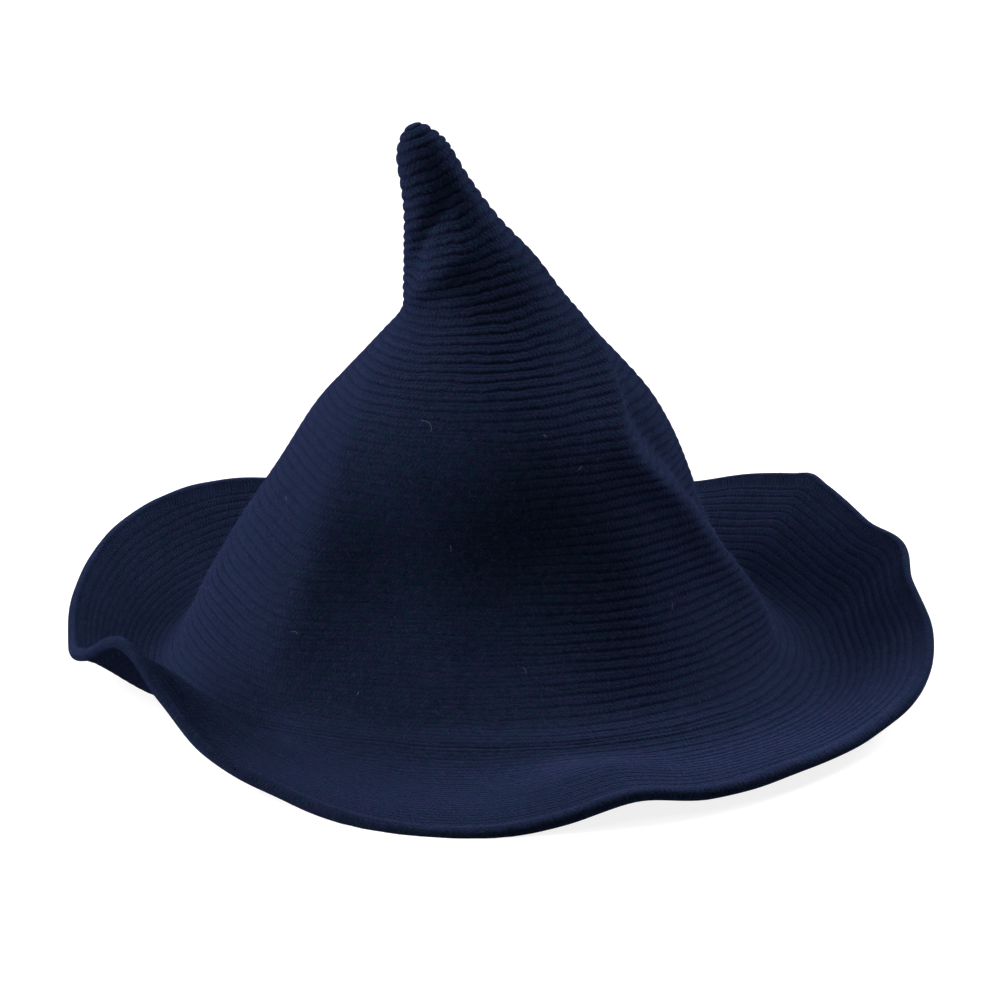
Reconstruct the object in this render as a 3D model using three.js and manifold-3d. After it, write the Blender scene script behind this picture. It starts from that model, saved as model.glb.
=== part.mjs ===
// Witch hat of soft ribbed wool knit: a leaning peak, a flared crown and a wide wavy brim with a wired hem.
// The knit is one funnel of cloth. It is split here where it bends: at the peak's crease and along the line
// where the front of the brim turns up. Millimetres, +Z up, -Y to the front. The origin is the middle of the
// footprint, on the surface that the hat stands on.
import * as THREE from 'three';
import { mergeVertices } from 'three/addons/utils/BufferGeometryUtils.js';
import Module from 'manifold-3d';

const wasm = await Module();
wasm.setup();

// Driving dimensions.
const knitThickness = 2.2;
const gap = 0.3;
const hemRadius = 3.1;
const hemCloth = 1.8;
const wireRadius = 0.45;
const sleeveRadius = 1.0;
const sleeveWall = 0.3;
const bandThickness = 1.0;
const labelThickness = 0.5;
const threadSize = 0.6;
const turnUpLine = { y: -166, halfWidth: 6 };
const floor = 0;

// The crown's axis stands a little off the middle of the footprint.
const footprintShift = { x: 2.9, y: 3.3 };

// Crown rings from the tip down to the foot: the centre's height and sideways place, the radius, the ring's tilt
// in degrees (its left side lower) and its depth as a share of its width.
const crownRings = [
  { z: 262, x: -41, r: 0, tilt: 22, depth: 1 },
  { z: 260.8, x: -40.5, r: 4.3, tilt: 22, depth: 1 },
  { z: 256, x: -39, r: 8.8, tilt: 21, depth: 1 },
  { z: 249, x: -36.4, r: 12.7, tilt: 20, depth: 0.95 },
  { z: 230, x: -29.5, r: 17, tilt: 18, depth: 0.9 },
  { z: 211, x: -22.5, r: 23.5, tilt: 15, depth: 0.88 },
  { z: 192, x: -14, r: 32.2, tilt: 11, depth: 0.9 },
  { z: 178, x: -9, r: 38, tilt: 7, depth: 0.94 },
  { z: 163, x: -8.5, r: 50, tilt: 4, depth: 0.97 },
  { z: 143, x: -8, r: 67.5, tilt: 2, depth: 1 },
  { z: 124, x: -7.5, r: 82.5, tilt: 0, depth: 1 },
  { z: 93, x: -8.7, r: 101, tilt: 0, depth: 1 },
  { z: 60, x: -13, r: 119, tilt: 0, depth: 1 },
  { z: 34, x: -13, r: 135, tilt: 0, depth: 1 },
  { z: 18, x: -11, r: 146, tilt: 0, depth: 1 },
  { z: 11, x: -9, r: 156, tilt: 0, depth: 1 },
];
const foot = crownRings.length - 1;
const brimEnd = foot + 1;

// The foot of the crown sits higher at the front, where the slope runs on into the brim.
const footHeight = 4.4;
const footRise = 13;
const footRiseFrom = 11;

// Brim's edge seen from above: angle from +X towards the back, reach of the hem, height of the cloth at the hem.
const edge = [
  { at: 0, reach: 203, z: 34 },
  { at: 10, reach: 207, z: 40 },
  { at: 20, reach: 204, z: 39 },
  { at: 33, reach: 207, z: 45.5 },
  { at: 36, reach: 208, z: 47.5 },
  { at: 39, reach: 207, z: 45 },
  { at: 48, reach: 204, z: 38 },
  { at: 60, reach: 205, z: 26 },
  { at: 90, reach: 205, z: 19 },
  { at: 115, reach: 205, z: 23 },
  { at: 135, reach: 203, z: 38 },
  { at: 150, reach: 203.5, z: 43 },
  { at: 165, reach: 207.5, z: 39 },
  { at: 178, reach: 211, z: 27 },
  { at: 190, reach: 210.5, z: 17 },
  { at: 202, reach: 210, z: 28 },
  { at: 212, reach: 204.5, z: 44 },
  { at: 221, reach: 201.5, z: 29 },
  { at: 230, reach: 203.5, z: 16 },
  { at: 242, reach: 205.5, z: 8 },
  { at: 255, reach: 212, z: 3.7 },
  { at: 268, reach: 213, z: 3.7 },
  { at: 277, reach: 209, z: 7.5 },
  { at: 286, reach: 207, z: 14 },
  { at: 296, reach: 208, z: 10 },
  { at: 308, reach: 209, z: 11 },
  { at: 322, reach: 211, z: 12 },
  { at: 335, reach: 215, z: 18 },
  { at: 347, reach: 211, z: 26 },
];
const brimStartSlope = -0.7;
const brimEndLift = 1.35;

// Folds that run in from the brim's edge, strongest part of the way out: angle at the edge, height, angular spread,
// and how far round each one leans by the time it reaches the crown.
const brimFolds = [
  { at: 213, height: 14, angle: 11, lean: 20 },
  { at: 286, height: 5, angle: 10, lean: 0 },
  { at: 36, height: 5, angle: 8, lean: 0 },
];
const brimFoldStart = 0.05;

// Soft swells and hollows of the crown: angle, ring and size of the middle of each, how far it spreads round and
// above and below its middle, and how flat its middle is.
const swells = [
  { at: 205, ring: 12, size: -0.03, angle: 18, above: 2.5, below: 2.5, flatness: 2 },
  { at: 60, ring: 10, size: -0.03, angle: 25, above: 3, below: 3, flatness: 2 },
  { at: 110, ring: 11, size: 0.035, angle: 22, above: 3, below: 3, flatness: 2 },
  { at: 266, ring: 11.6, size: -0.14, angle: 35, above: 0.95, below: 1.6, flatness: 4 },
  { at: 5, ring: 9.8, size: 0.035, angle: 25, above: 1.6, below: 1.8, flatness: 2 },
];

// Folds that run down the crown's front, a raised one at the left and a raised one with a valley behind it at the
// right: size, spread in degrees, the rings where each starts, is full, fades and ends, and its angle on the way.
const folds = [
  {
    size: 0.112, angle: 9, starts: 6.8, full: 8.6, fades: 11.8, ends: 14.5,
    path: [[6, 350], [8, 344], [9, 329], [10, 320], [11, 332], [12.5, 346], [15, 350]],
  },
  {
    size: 0.08, angle: 13, starts: 7, full: 10.4, fades: 12, ends: 14.5,
    path: [[6, 224], [8, 213], [9.5, 222], [11, 227], [12, 230], [15, 236]],
  },
  {
    size: -0.1, angle: 11, starts: 7.6, full: 9, fades: 11, ends: 13,
    path: [[6, 368], [8, 360], [9, 347], [10, 339], [11, 350], [15, 370]],
  },
];
const foldRoundness = 3.5;

// The peak's crease: the cloth tucks in above it and rounds out below it, lower at the left than at the right.
const crease = {
  ring: 5.37, slant: 0.855, lowSide: 320, tuck: -0.21, shoulder: 0.14, apart: 0.5, spread: 0.36, faces: 252, width: 44,
};

const radians = THREE.MathUtils.degToRad;

// Value of `key` along a list with positions `where`, by cubic pieces through its points.
function along(list, where, key, position) {
  let right = list.findIndex((entry) => entry[where] > position);
  if (right < 0) right = list.length - 1;
  right = Math.max(right, 1);
  const slope = (i) => {
    const before = list[Math.max(i - 1, 0)];
    const after = list[Math.min(i + 1, list.length - 1)];
    return (after[key] - before[key]) / (after[where] - before[where]);
  };
  const start = list[right - 1];
  const end = list[right];
  const span = end[where] - start[where];
  const t = (position - start[where]) / span;
  return hermite(start[key], end[key], slope(right - 1) * span, slope(right) * span, t);
}

function hermite(from, to, slopeFrom, slopeTo, t) {
  const square = t * t;
  const cube = square * t;
  return from * (2 * cube - 3 * square + 1) + slopeFrom * (cube - 2 * square + t)
    + to * (3 * square - 2 * cube) + slopeTo * (cube - square);
}

const ringList = crownRings.map((ring, i) => ({ ...ring, i }));
const edgeList = [-360, 0, 360].flatMap((turn) => edge.map((entry) => ({ ...entry, at: entry.at + turn })));

function ringValue(key, ring) {
  return along(ringList, 'i', key, ring);
}

function edgeValue(key, degrees) {
  return along(edgeList, 'at', key, THREE.MathUtils.euclideanModulo(degrees, 360));
}

function bell(distance, spread) {
  return Math.exp(-((distance / spread) ** 2));
}

function turnFrom(degrees, middle) {
  return THREE.MathUtils.euclideanModulo(degrees - middle + 180, 360) - 180;
}

const foldPaths = folds.map((fold) => fold.path.map(([ring, at]) => ({ ring, at })));

// How far round a fold's middle lies at a ring.
function foldAngle(path, ring) {
  const here = THREE.MathUtils.clamp(ring, path[0].ring, path[path.length - 1].ring);
  return along(path, 'ring', 'at', here);
}

// How much the swells, folds and crease widen a ring at an angle.
function swellOf(degrees, ring) {
  let swell = 1;
  for (const { at, ring: middle, size, angle, above, below, flatness } of swells) {
    const across = Math.exp(-(Math.abs(turnFrom(degrees, at) / angle) ** flatness));
    swell += size * across * bell(ring - middle, ring < middle ? above : below);
  }
  folds.forEach(({ size, angle, starts, full, fades, ends }, i) => {
    const away = Math.hypot(turnFrom(degrees, foldAngle(foldPaths[i], ring)), foldRoundness) - foldRoundness;
    const grown = THREE.MathUtils.smoothstep(ring, starts, full);
    const gone = THREE.MathUtils.smoothstep(ring, fades, ends);
    swell += size * Math.exp(-away / angle) * grown * (1 - gone);
  });
  const facing = Math.exp(-((turnFrom(degrees, crease.faces) / crease.width) ** 4));
  const creaseRing = crease.ring - crease.slant * Math.cos(radians(degrees - crease.lowSide));
  const tucked = bell(ring - creaseRing + crease.apart, crease.spread);
  const rounded = bell(ring - creaseRing - crease.apart, crease.spread);
  return swell + facing * (crease.tuck * tucked + crease.shoulder * rounded);
}

// A point of the knit's outer face. `ring` runs down the crown's rings, then from the foot to the hem.
function crownPoint(degrees, ring) {
  const turn = radians(degrees);
  const radius = ringValue('r', ring) * swellOf(degrees, ring);
  const tilt = radians(ringValue('tilt', ring));
  const acrossX = radius * Math.cos(turn);
  const front = Math.max(0, -Math.sin(turn)) ** 1.5;
  const rise = footHeight + footRise * front - crownRings[foot].z;
  const share = THREE.MathUtils.smoothstep(ring, footRiseFrom, foot);
  return new THREE.Vector3(
    ringValue('x', ring) + acrossX * Math.cos(tilt),
    radius * ringValue('depth', ring) * Math.sin(turn),
    ringValue('z', ring) + acrossX * Math.sin(tilt) + rise * share,
  );
}

function brimPoint(degrees, share) {
  const turn = radians(degrees);
  const start = crownPoint(degrees, foot);
  const reach = edgeValue('reach', degrees) - 2 * hemRadius - gap;
  const end = new THREE.Vector3(reach * Math.cos(turn), reach * Math.sin(turn), edgeValue('z', degrees));
  const width = Math.hypot(end.x - start.x, end.y - start.y);
  const point = start.clone().lerp(end, share);
  point.z = hermite(start.z, end.z, brimStartSlope * width, brimEndLift * (end.z - start.z), share);
  const inward = Math.sin(Math.PI * THREE.MathUtils.smoothstep(share, brimFoldStart, 1));
  for (const fold of brimFolds) {
    point.z += fold.height * inward * bell(turnFrom(degrees, fold.at + fold.lean * (1 - share)), fold.angle);
  }
  return point;
}

function knitPoint(degrees, ring) {
  return ring <= foot ? crownPoint(degrees, ring) : brimPoint(degrees, ring - foot);
}

function knitNormal(degrees, ring) {
  const step = 0.02;
  const here = Math.min(Math.max(ring, 0.1), brimEnd - step);
  const down = knitPoint(degrees, here + step).sub(knitPoint(degrees, here - step));
  const round = knitPoint(degrees + 0.5, here).sub(knitPoint(degrees - 0.5, here));
  return down.cross(round).normalize();
}

// The knit's surface moved inwards by `depth`.
function insidePoint(degrees, ring, depth) {
  return knitPoint(degrees, ring).addScaledVector(knitNormal(degrees, ring), -depth);
}

// A ring position moved along the slope by a distance in millimetres.
function slide(ring, distance) {
  const step = 0.01;
  const length = knitPoint(90, ring + step).distanceTo(knitPoint(90, ring - step)) / (2 * step);
  return ring + distance / length;
}

function spread(from, to, steps) {
  return Array.from({ length: steps + 1 }, (unused, i) => from + ((to - from) * i) / steps);
}

function wholeTurn(steps) {
  return spread(0, 360, steps).slice(0, steps);
}

// Joins loops of points into one closed body. Each loop lists one side, then the other side in reverse, and both
// sides' faces are split the same way, so that neighbouring sheets stay apart.
function loft(loops, closed) {
  const count = loops[0].length;
  const spans = closed ? loops.length : loops.length - 1;
  const id = (i, j) => (i % loops.length) * count + (j % count);
  const index = [];
  for (let i = 0; i < spans; i += 1) {
    for (let j = 0; j < count; j += 1) {
      const [a, b, c, d] = [id(i, j), id(i + 1, j), id(i + 1, j + 1), id(i, j + 1)];
      index.push(...(j < count / 2 ? [a, b, c, a, c, d] : [a, b, d, b, c, d]));
    }
  }
  for (let j = 0; j < count / 2 - 1 && !closed; j += 1) {
    const [a, b, c, d] = [j, j + 1, count - 2 - j, count - 1 - j];
    index.push(id(0, a), id(0, b), id(0, c), id(0, a), id(0, c), id(0, d));
    index.push(id(spans, c), id(spans, b), id(spans, a), id(spans, d), id(spans, c), id(spans, a));
  }
  const geometry = new THREE.BufferGeometry();
  const positions = loops.flat().flatMap((point) => [point.x, point.y, point.z]);
  geometry.setAttribute('position', new THREE.Float32BufferAttribute(positions, 3));
  geometry.setIndex(index);
  return outward(withoutSlivers(mergeVertices(geometry)));
}

function withoutSlivers(geometry) {
  const index = geometry.index.array;
  const kept = [];
  for (let i = 0; i < index.length; i += 3) {
    const [a, b, c] = index.slice(i, i + 3);
    if (a !== b && b !== c && c !== a) kept.push(a, b, c);
  }
  geometry.setIndex(kept);
  return geometry;
}

function outward(geometry) {
  const index = Array.from(geometry.index.array);
  const corner = (k) => new THREE.Vector3().fromBufferAttribute(geometry.attributes.position, index[k]);
  let volume = 0;
  for (let i = 0; i < index.length; i += 3) {
    volume += corner(i).dot(corner(i + 1).cross(corner(i + 2)));
  }
  if (volume < 0) {
    for (let i = 0; i < index.length; i += 3) {
      [index[i], index[i + 1]] = [index[i + 1], index[i]];
    }
    geometry.setIndex(index);
  }
  return geometry;
}

// A sheet that follows the knit, between two depths under its outer face.
function sheet(angles, rings, depth, thickness, closed = true) {
  const loops = angles.map((degrees) => [
    ...rings.map((ring) => insidePoint(degrees, ring, depth)),
    ...[...rings].reverse().map((ring) => insidePoint(degrees, ring, depth + thickness)),
  ]);
  return loft(loops, closed);
}

// Middle of the rolled hem, with the brim's outward direction and normal there.
function hemFrame(degrees) {
  const end = brimPoint(degrees, 1);
  const tangent = brimPoint(degrees + 1, 1).sub(brimPoint(degrees - 1, 1)).normalize();
  const out = end.clone().sub(brimPoint(degrees, 0.97));
  out.addScaledVector(tangent, -out.dot(tangent)).normalize();
  const normal = out.clone().cross(tangent).normalize();
  const middle = end.addScaledVector(out, hemRadius + gap).addScaledVector(normal, -knitThickness / 2);
  return { middle, out, normal };
}

// Sweeps a section along the hem; the section's points are [outwards, upwards] from the hem's middle.
function alongHem(angles, section, closed) {
  const loops = angles.map((degrees) => {
    const { middle, out, normal } = hemFrame(degrees);
    return section.map(([x, y]) => middle.clone().addScaledVector(out, x).addScaledVector(normal, y));
  });
  return loft(loops, closed);
}

function arc(radius, fromDegrees, toDegrees, steps) {
  return spread(fromDegrees, toDegrees, steps).map((degrees) => {
    const turn = radians(degrees);
    return [radius * Math.cos(turn), radius * Math.sin(turn)];
  });
}

function roundSection(radius, sides) {
  return arc(radius, 0, 360, sides).slice(0, sides);
}

// Cutting by planes.
function solidOf(geometry) {
  const mesh = new wasm.Mesh({
    numProp: 3,
    vertProperties: new Float32Array(geometry.attributes.position.array),
    triVerts: new Uint32Array(geometry.index.array),
  });
  return new wasm.Manifold(mesh);
}

function geometryOf(solid) {
  const mesh = solid.getMesh();
  const geometry = new THREE.BufferGeometry();
  geometry.setAttribute('position', new THREE.Float32BufferAttribute(mesh.vertProperties, 3));
  geometry.setIndex(Array.from(mesh.triVerts));
  return geometry;
}

// Keeps what lies on the side of each plane that its normal points to.
function trimmed(geometry, planes) {
  let solid = solidOf(geometry);
  for (const [normal, offset] of planes) {
    solid = solid.trimByPlane(normal, offset);
  }
  return geometryOf(solid);
}

const aboveFloor = [[0, 0, 1], floor];
const half = gap / 2;
const foldBack = turnUpLine.y + turnUpLine.halfWidth;
const foldFront = turnUpLine.y - turnUpLine.halfWidth;
const behindFold = [[0, 1, 0], foldBack + half];
const beforeFold = [[0, -1, 0], -(foldFront - half)];
const inFold = [[[0, -1, 0], -(foldBack - half)], [[0, 1, 0], foldFront + half]];
const leftSide = [[-1, 0, 0], 0];
const rightSide = [[1, 0, 0], 0];

const hat = new THREE.Group();

function add(name, geometry, colour, roughness, metalness = 0) {
  const material = new THREE.MeshStandardMaterial({ color: colour, roughness, metalness });
  const mesh = new THREE.Mesh(geometry, material);
  mesh.name = name;
  mesh.geometry.computeVertexNormals();
  hat.add(mesh);
}

const navyKnit = 0x141c33;
const navyThread = 0x10162a;
const navyRibbon = 0x0d1222;
const labelCloth = 0x2a2f3d;
const springSteel = 0xb4b7ba;
const knitRoughness = 0.95;

// Peak, its bending zone and the crown below it.
const peakRings = [0, 0.5, 1, 2, 3, 4, 4.7, 5.3];
const bendRings = [5.3, 6, 6.6, 7.2, 8, 8.9];
const crownBody = [8.9, 9.5, 10.2, 10.6, 11, 11.6, 12.2, 12.9, 13.6, 14.3, foot];

function insideEnds(rings, open) {
  const list = [...rings];
  if (!open) list[0] = slide(list[0], half);
  list[list.length - 1] = slide(list[list.length - 1], -half);
  return list;
}

add('peak_knit', sheet(wholeTurn(28), insideEnds(peakRings, true), 0, knitThickness), navyKnit, knitRoughness);
add('peak_bend_knit', sheet(wholeTurn(72), insideEnds(bendRings), 0, knitThickness), navyKnit, knitRoughness);
add('crown_knit', sheet(wholeTurn(72), insideEnds(crownBody), 0, knitThickness), navyKnit, knitRoughness);

// Knot that draws the last round of stitches together inside the tip.
const knotRadius = 3.2;
const knotDrop = 16;
const knot = new THREE.SphereGeometry(knotRadius, 10, 6);
knot.deleteAttribute('normal');
knot.deleteAttribute('uv');
knot.translate(crownRings[3].x, 0, crownRings[0].z - knotDrop);
add('tip_knot', withoutSlivers(mergeVertices(knot)), navyThread, knitRoughness);

// Brim: one wavy sheet, cut along the line where its front turns up.
const brimSteps = 72;
const brimRings = [slide(foot, half), foot + 0.2, foot + 0.45, foot + 0.7, foot + 0.92, brimEnd];
const brim = sheet(wholeTurn(brimSteps), brimRings, 0, knitThickness);
add('brim_knit', trimmed(brim, [aboveFloor, behindFold]), navyKnit, knitRoughness);
add('brim_fold_knit', trimmed(brim, [aboveFloor, ...inFold]), navyKnit, knitRoughness);
add('brim_front_knit', trimmed(brim, [aboveFloor, beforeFold]), navyKnit, knitRoughness);

// Hem: the brim's edge rolled under round the wire, open along its inner side.
const hemOpenFrom = 130;
const hemOpenTo = -150;
const hemSection = [
  ...arc(hemRadius, hemOpenFrom, hemOpenTo, 7),
  ...arc(hemRadius - hemCloth, hemOpenTo, hemOpenFrom, 7),
];
const hem = alongHem(wholeTurn(brimSteps), hemSection, true);
add('hem_knit', trimmed(hem, [aboveFloor, behindFold]), navyKnit, knitRoughness);
add('hem_front_knit', trimmed(hem, [aboveFloor, beforeFold]), navyKnit, knitRoughness);
add('hem_fold_left_knit', trimmed(hem, [aboveFloor, ...inFold, leftSide]), navyKnit, knitRoughness);
add('hem_fold_right_knit', trimmed(hem, [aboveFloor, ...inFold, rightSide]), navyKnit, knitRoughness);

// Shaping wire inside the hem. Its two ends meet in a crimped sleeve at the back right.
const wire = alongHem(wholeTurn(brimSteps), roundSection(wireRadius, 6), true);
add('brim_wire', trimmed(wire, [behindFold]), springSteel, 0.35, 1);
add('brim_wire_front', trimmed(wire, [beforeFold]), springSteel, 0.35, 1);
add('brim_wire_fold_left', trimmed(wire, [...inFold, leftSide]), springSteel, 0.35, 1);
add('brim_wire_fold_right', trimmed(wire, [...inFold, rightSide]), springSteel, 0.35, 1);

const sleeveStep = 7;
const sleeveAngles = spread(sleeveStep, sleeveStep + 1, 4).slice(1, 4).map((step) => (step * 360) / brimSteps);

function straightAlongHem(angles, section) {
  const start = hemFrame((sleeveStep * 360) / brimSteps);
  const end = hemFrame(((sleeveStep + 1) * 360) / brimSteps);
  const shares = angles.map((degrees) => (degrees * brimSteps) / 360 - sleeveStep);
  return shares.map((share) => {
    const middle = start.middle.clone().lerp(end.middle, share);
    const out = start.out.clone().lerp(end.out, share).normalize();
    const normal = start.normal.clone().lerp(end.normal, share).normalize();
    return section.map(([x, y]) => middle.clone().addScaledVector(out, x).addScaledVector(normal, y));
  });
}

const sleeveSection = [
  ...arc(sleeveRadius, 0, 330, 11),
  ...arc(sleeveRadius - sleeveWall, 330, 0, 11),
];
add('wire_sleeve', loft(straightAlongHem(sleeveAngles, sleeveSection), false), 0xc9a24a, 0.3, 1);

// Thread that holds the hem's turned edge to the brim's underside.
const hemThreadInset = 2.2;
const threadRings = [slide(brimEnd - 0.02, -hemThreadInset), slide(brimEnd - 0.02, -hemThreadInset + threadSize)];
const hemThread = sheet(wholeTurn(brimSteps), threadRings, knitThickness + gap, threadSize);
add('hem_thread', trimmed(hemThread, [behindFold]), navyThread, 0.8);
add('hem_thread_front', trimmed(hemThread, [beforeFold]), navyThread, 0.8);
add('hem_thread_fold_left', trimmed(hemThread, [...inFold, leftSide]), navyThread, 0.8);
add('hem_thread_fold_right', trimmed(hemThread, [...inFold, rightSide]), navyThread, 0.8);

// Sweatband inside the crown at head height, with its seam thread, a blank care label and the label's stitches.
const bandClearance = 0.6;
const bandDepth = knitThickness + bandClearance;
const bandRings = [10.2, 10.6, 11];
add('sweatband', sheet(wholeTurn(72), bandRings, bandDepth, bandThickness), navyRibbon, 0.7);
const seamClearance = 0.5;
const bandFace = bandDepth + bandThickness + seamClearance;
const bandSeam = slide(bandRings[0], 2);
const seamRings = [bandSeam, slide(bandSeam, threadSize)];
add('sweatband_thread', sheet(wholeTurn(72), seamRings, bandFace, threadSize), navyThread, 0.8);
const labelRings = [slide(bandSeam, 2), slide(bandSeam, 11), slide(bandSeam, 20)];
const labelAngles = spread(80, 100, 6);
add('care_label', sheet(labelAngles, labelRings, bandFace, labelThickness, false), labelCloth, 0.8);
const labelFace = bandFace + labelThickness + gap;
const tackRings = [slide(bandSeam, 3), slide(bandSeam, 3 + threadSize)];
const tackAngles = spread(81.5, 98.5, 6);
add('care_label_thread', sheet(tackAngles, tackRings, labelFace, threadSize, false), navyThread, 0.8);

hat.position.set(footprintShift.x, footprintShift.y, 0);

export default hat;
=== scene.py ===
import math

import bpy
import numpy as np
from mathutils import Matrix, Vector


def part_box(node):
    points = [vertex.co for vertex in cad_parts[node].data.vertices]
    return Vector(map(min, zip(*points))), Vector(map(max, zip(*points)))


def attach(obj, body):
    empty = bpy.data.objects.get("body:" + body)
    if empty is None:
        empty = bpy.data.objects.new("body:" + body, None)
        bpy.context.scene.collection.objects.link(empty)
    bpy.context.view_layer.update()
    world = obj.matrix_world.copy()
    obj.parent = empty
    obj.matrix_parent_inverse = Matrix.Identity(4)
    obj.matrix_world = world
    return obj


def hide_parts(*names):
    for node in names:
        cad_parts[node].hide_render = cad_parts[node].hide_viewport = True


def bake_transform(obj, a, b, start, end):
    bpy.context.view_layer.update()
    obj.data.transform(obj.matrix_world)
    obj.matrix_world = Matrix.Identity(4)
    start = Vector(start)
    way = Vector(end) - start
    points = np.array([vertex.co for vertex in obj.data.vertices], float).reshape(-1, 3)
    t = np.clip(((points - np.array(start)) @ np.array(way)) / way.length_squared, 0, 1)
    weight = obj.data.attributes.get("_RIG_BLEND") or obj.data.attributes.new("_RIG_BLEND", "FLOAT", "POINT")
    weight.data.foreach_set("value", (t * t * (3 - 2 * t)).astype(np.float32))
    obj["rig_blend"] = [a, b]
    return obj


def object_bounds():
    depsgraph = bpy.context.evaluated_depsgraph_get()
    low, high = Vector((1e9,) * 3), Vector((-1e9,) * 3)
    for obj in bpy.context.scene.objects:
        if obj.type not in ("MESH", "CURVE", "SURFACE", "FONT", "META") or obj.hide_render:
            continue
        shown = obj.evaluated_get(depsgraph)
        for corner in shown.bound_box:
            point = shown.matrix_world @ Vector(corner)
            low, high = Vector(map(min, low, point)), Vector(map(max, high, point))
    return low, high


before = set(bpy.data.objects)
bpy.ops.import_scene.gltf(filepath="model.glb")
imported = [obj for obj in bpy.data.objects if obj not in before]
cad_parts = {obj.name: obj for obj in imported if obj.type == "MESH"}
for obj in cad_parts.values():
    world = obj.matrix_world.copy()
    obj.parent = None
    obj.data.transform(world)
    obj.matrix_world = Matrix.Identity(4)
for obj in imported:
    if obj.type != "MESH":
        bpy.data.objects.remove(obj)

cad_low, cad_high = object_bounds()
scene = bpy.context.scene

# ---------------------------------------------------------------------------------------------------------
# Camera: in front of the hat, 22 degrees above the table, with the whole brim in view.
camera_distance = 1.3
camera_elevation = math.radians(22)
camera_aim = Vector((0.0028, 0.0, 0.302 * cad_high.z))

camera_data = bpy.data.cameras.new("camera")
camera_data.lens = 94.6
camera_data.sensor_width = 36.0
camera = bpy.data.objects.new("camera", camera_data)
scene.collection.objects.link(camera)
camera_height = camera_distance * math.sin(camera_elevation)
camera.location = (0.0, -camera_distance * math.cos(camera_elevation), camera_height)
camera.rotation_euler = (camera_aim - camera.location).to_track_quat("-Z", "Y").to_euler()
scene.camera = camera
scene.view_settings.view_transform = "Standard"

# ---------------------------------------------------------------------------------------------------------
# Floor and light: a white table under a wide lamp overhead and behind, a soft lamp at each side and a small
# one above the front. The table sends little light back up, so the front of the hat stays dark. A glow that
# only the eye sees keeps the shadows on it pale.
floor_half = 7.0
floor_tone = 0.28
floor_brightness = 0.85
floor_mesh = bpy.data.meshes.new("floor")
floor_corners = [(-floor_half, -floor_half, 0), (floor_half, -floor_half, 0),
                 (floor_half, floor_half, 0), (-floor_half, floor_half, 0)]
floor_mesh.from_pydata(floor_corners, [], [(0, 1, 2, 3)])
floor = bpy.data.objects.new("floor", floor_mesh)
scene.collection.objects.link(floor)
floor_paint = bpy.data.materials.new("white_table")
floor_paint.use_nodes = True
floor_shader = floor_paint.node_tree.nodes["Principled BSDF"]
floor_shader.inputs["Roughness"].default_value = 0.9
floor_sight = floor_paint.node_tree.nodes.new("ShaderNodeLightPath")
floor_glow = floor_paint.node_tree.nodes.new("ShaderNodeMath")
floor_glow.operation = "MULTIPLY"
floor_glow.inputs[1].default_value = floor_brightness
floor_paint.node_tree.links.new(floor_sight.outputs["Is Camera Ray"], floor_glow.inputs[0])
floor_paint.node_tree.links.new(floor_glow.outputs[0], floor_shader.inputs["Emission Strength"])
floor_shader.inputs["Emission Color"].default_value = (1, 1, 1, 1)
floor_shader.inputs["Base Color"].default_value = (floor_tone, floor_tone, floor_tone, 1)
floor_mesh.materials.append(floor_paint)

world = bpy.data.worlds.new("studio")
world.use_nodes = True
world.node_tree.nodes["Background"].inputs["Color"].default_value = (1.0, 1.0, 1.0, 1)
world.node_tree.nodes["Background"].inputs["Strength"].default_value = 0.09
scene.world = world


def add_sun(name, direction, strength, softness, colour):
    lamp = bpy.data.lights.new(name, "SUN")
    lamp.energy = strength
    lamp.angle = math.radians(softness)
    lamp.color = colour
    holder = bpy.data.objects.new(name, lamp)
    holder.rotation_euler = Vector(direction).to_track_quat("-Z", "Y").to_euler()
    scene.collection.objects.link(holder)


def add_softbox(name, place, aim, size, power, colour):
    lamp = bpy.data.lights.new(name, "AREA")
    lamp.shape = "SQUARE"
    lamp.size = size
    lamp.energy = power
    lamp.color = colour
    holder = bpy.data.objects.new(name, lamp)
    holder.location = place
    holder.rotation_euler = (Vector(aim) - Vector(place)).to_track_quat("-Z", "Y").to_euler()
    holder.visible_camera = False
    scene.collection.objects.link(holder)


add_sun("overhead", (0.02, -0.5, -1.0), 1.8, 60, (0.86, 1.0, 0.95))
add_softbox("left_box", (-1.6, -0.1, 0.95), (0, 0, 0.1), 0.9, 53, (1.0, 0.92, 1.0))
add_softbox("right_box", (1.2, 1.05, 0.9), (0, 0, 0.1), 0.9, 65, (1.0, 0.92, 1.0))
add_softbox("top_box", (-0.15, -0.55, 0.95), (-0.03, 0, 0.25), 0.4, 2.4, (1.0, 0.96, 1.0))

# ---------------------------------------------------------------------------------------------------------
# Crown and peak: one funnel of wool, knitted round in ridges from the tip down. Each ridge is a rounded
# roll of two stitch rows between deeper grooves. The cloth bends where the peak joins the crown.
footprint_shift = np.array([0.0029, 0.0033, 0.0])
knit_thickness = 0.0022

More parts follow.
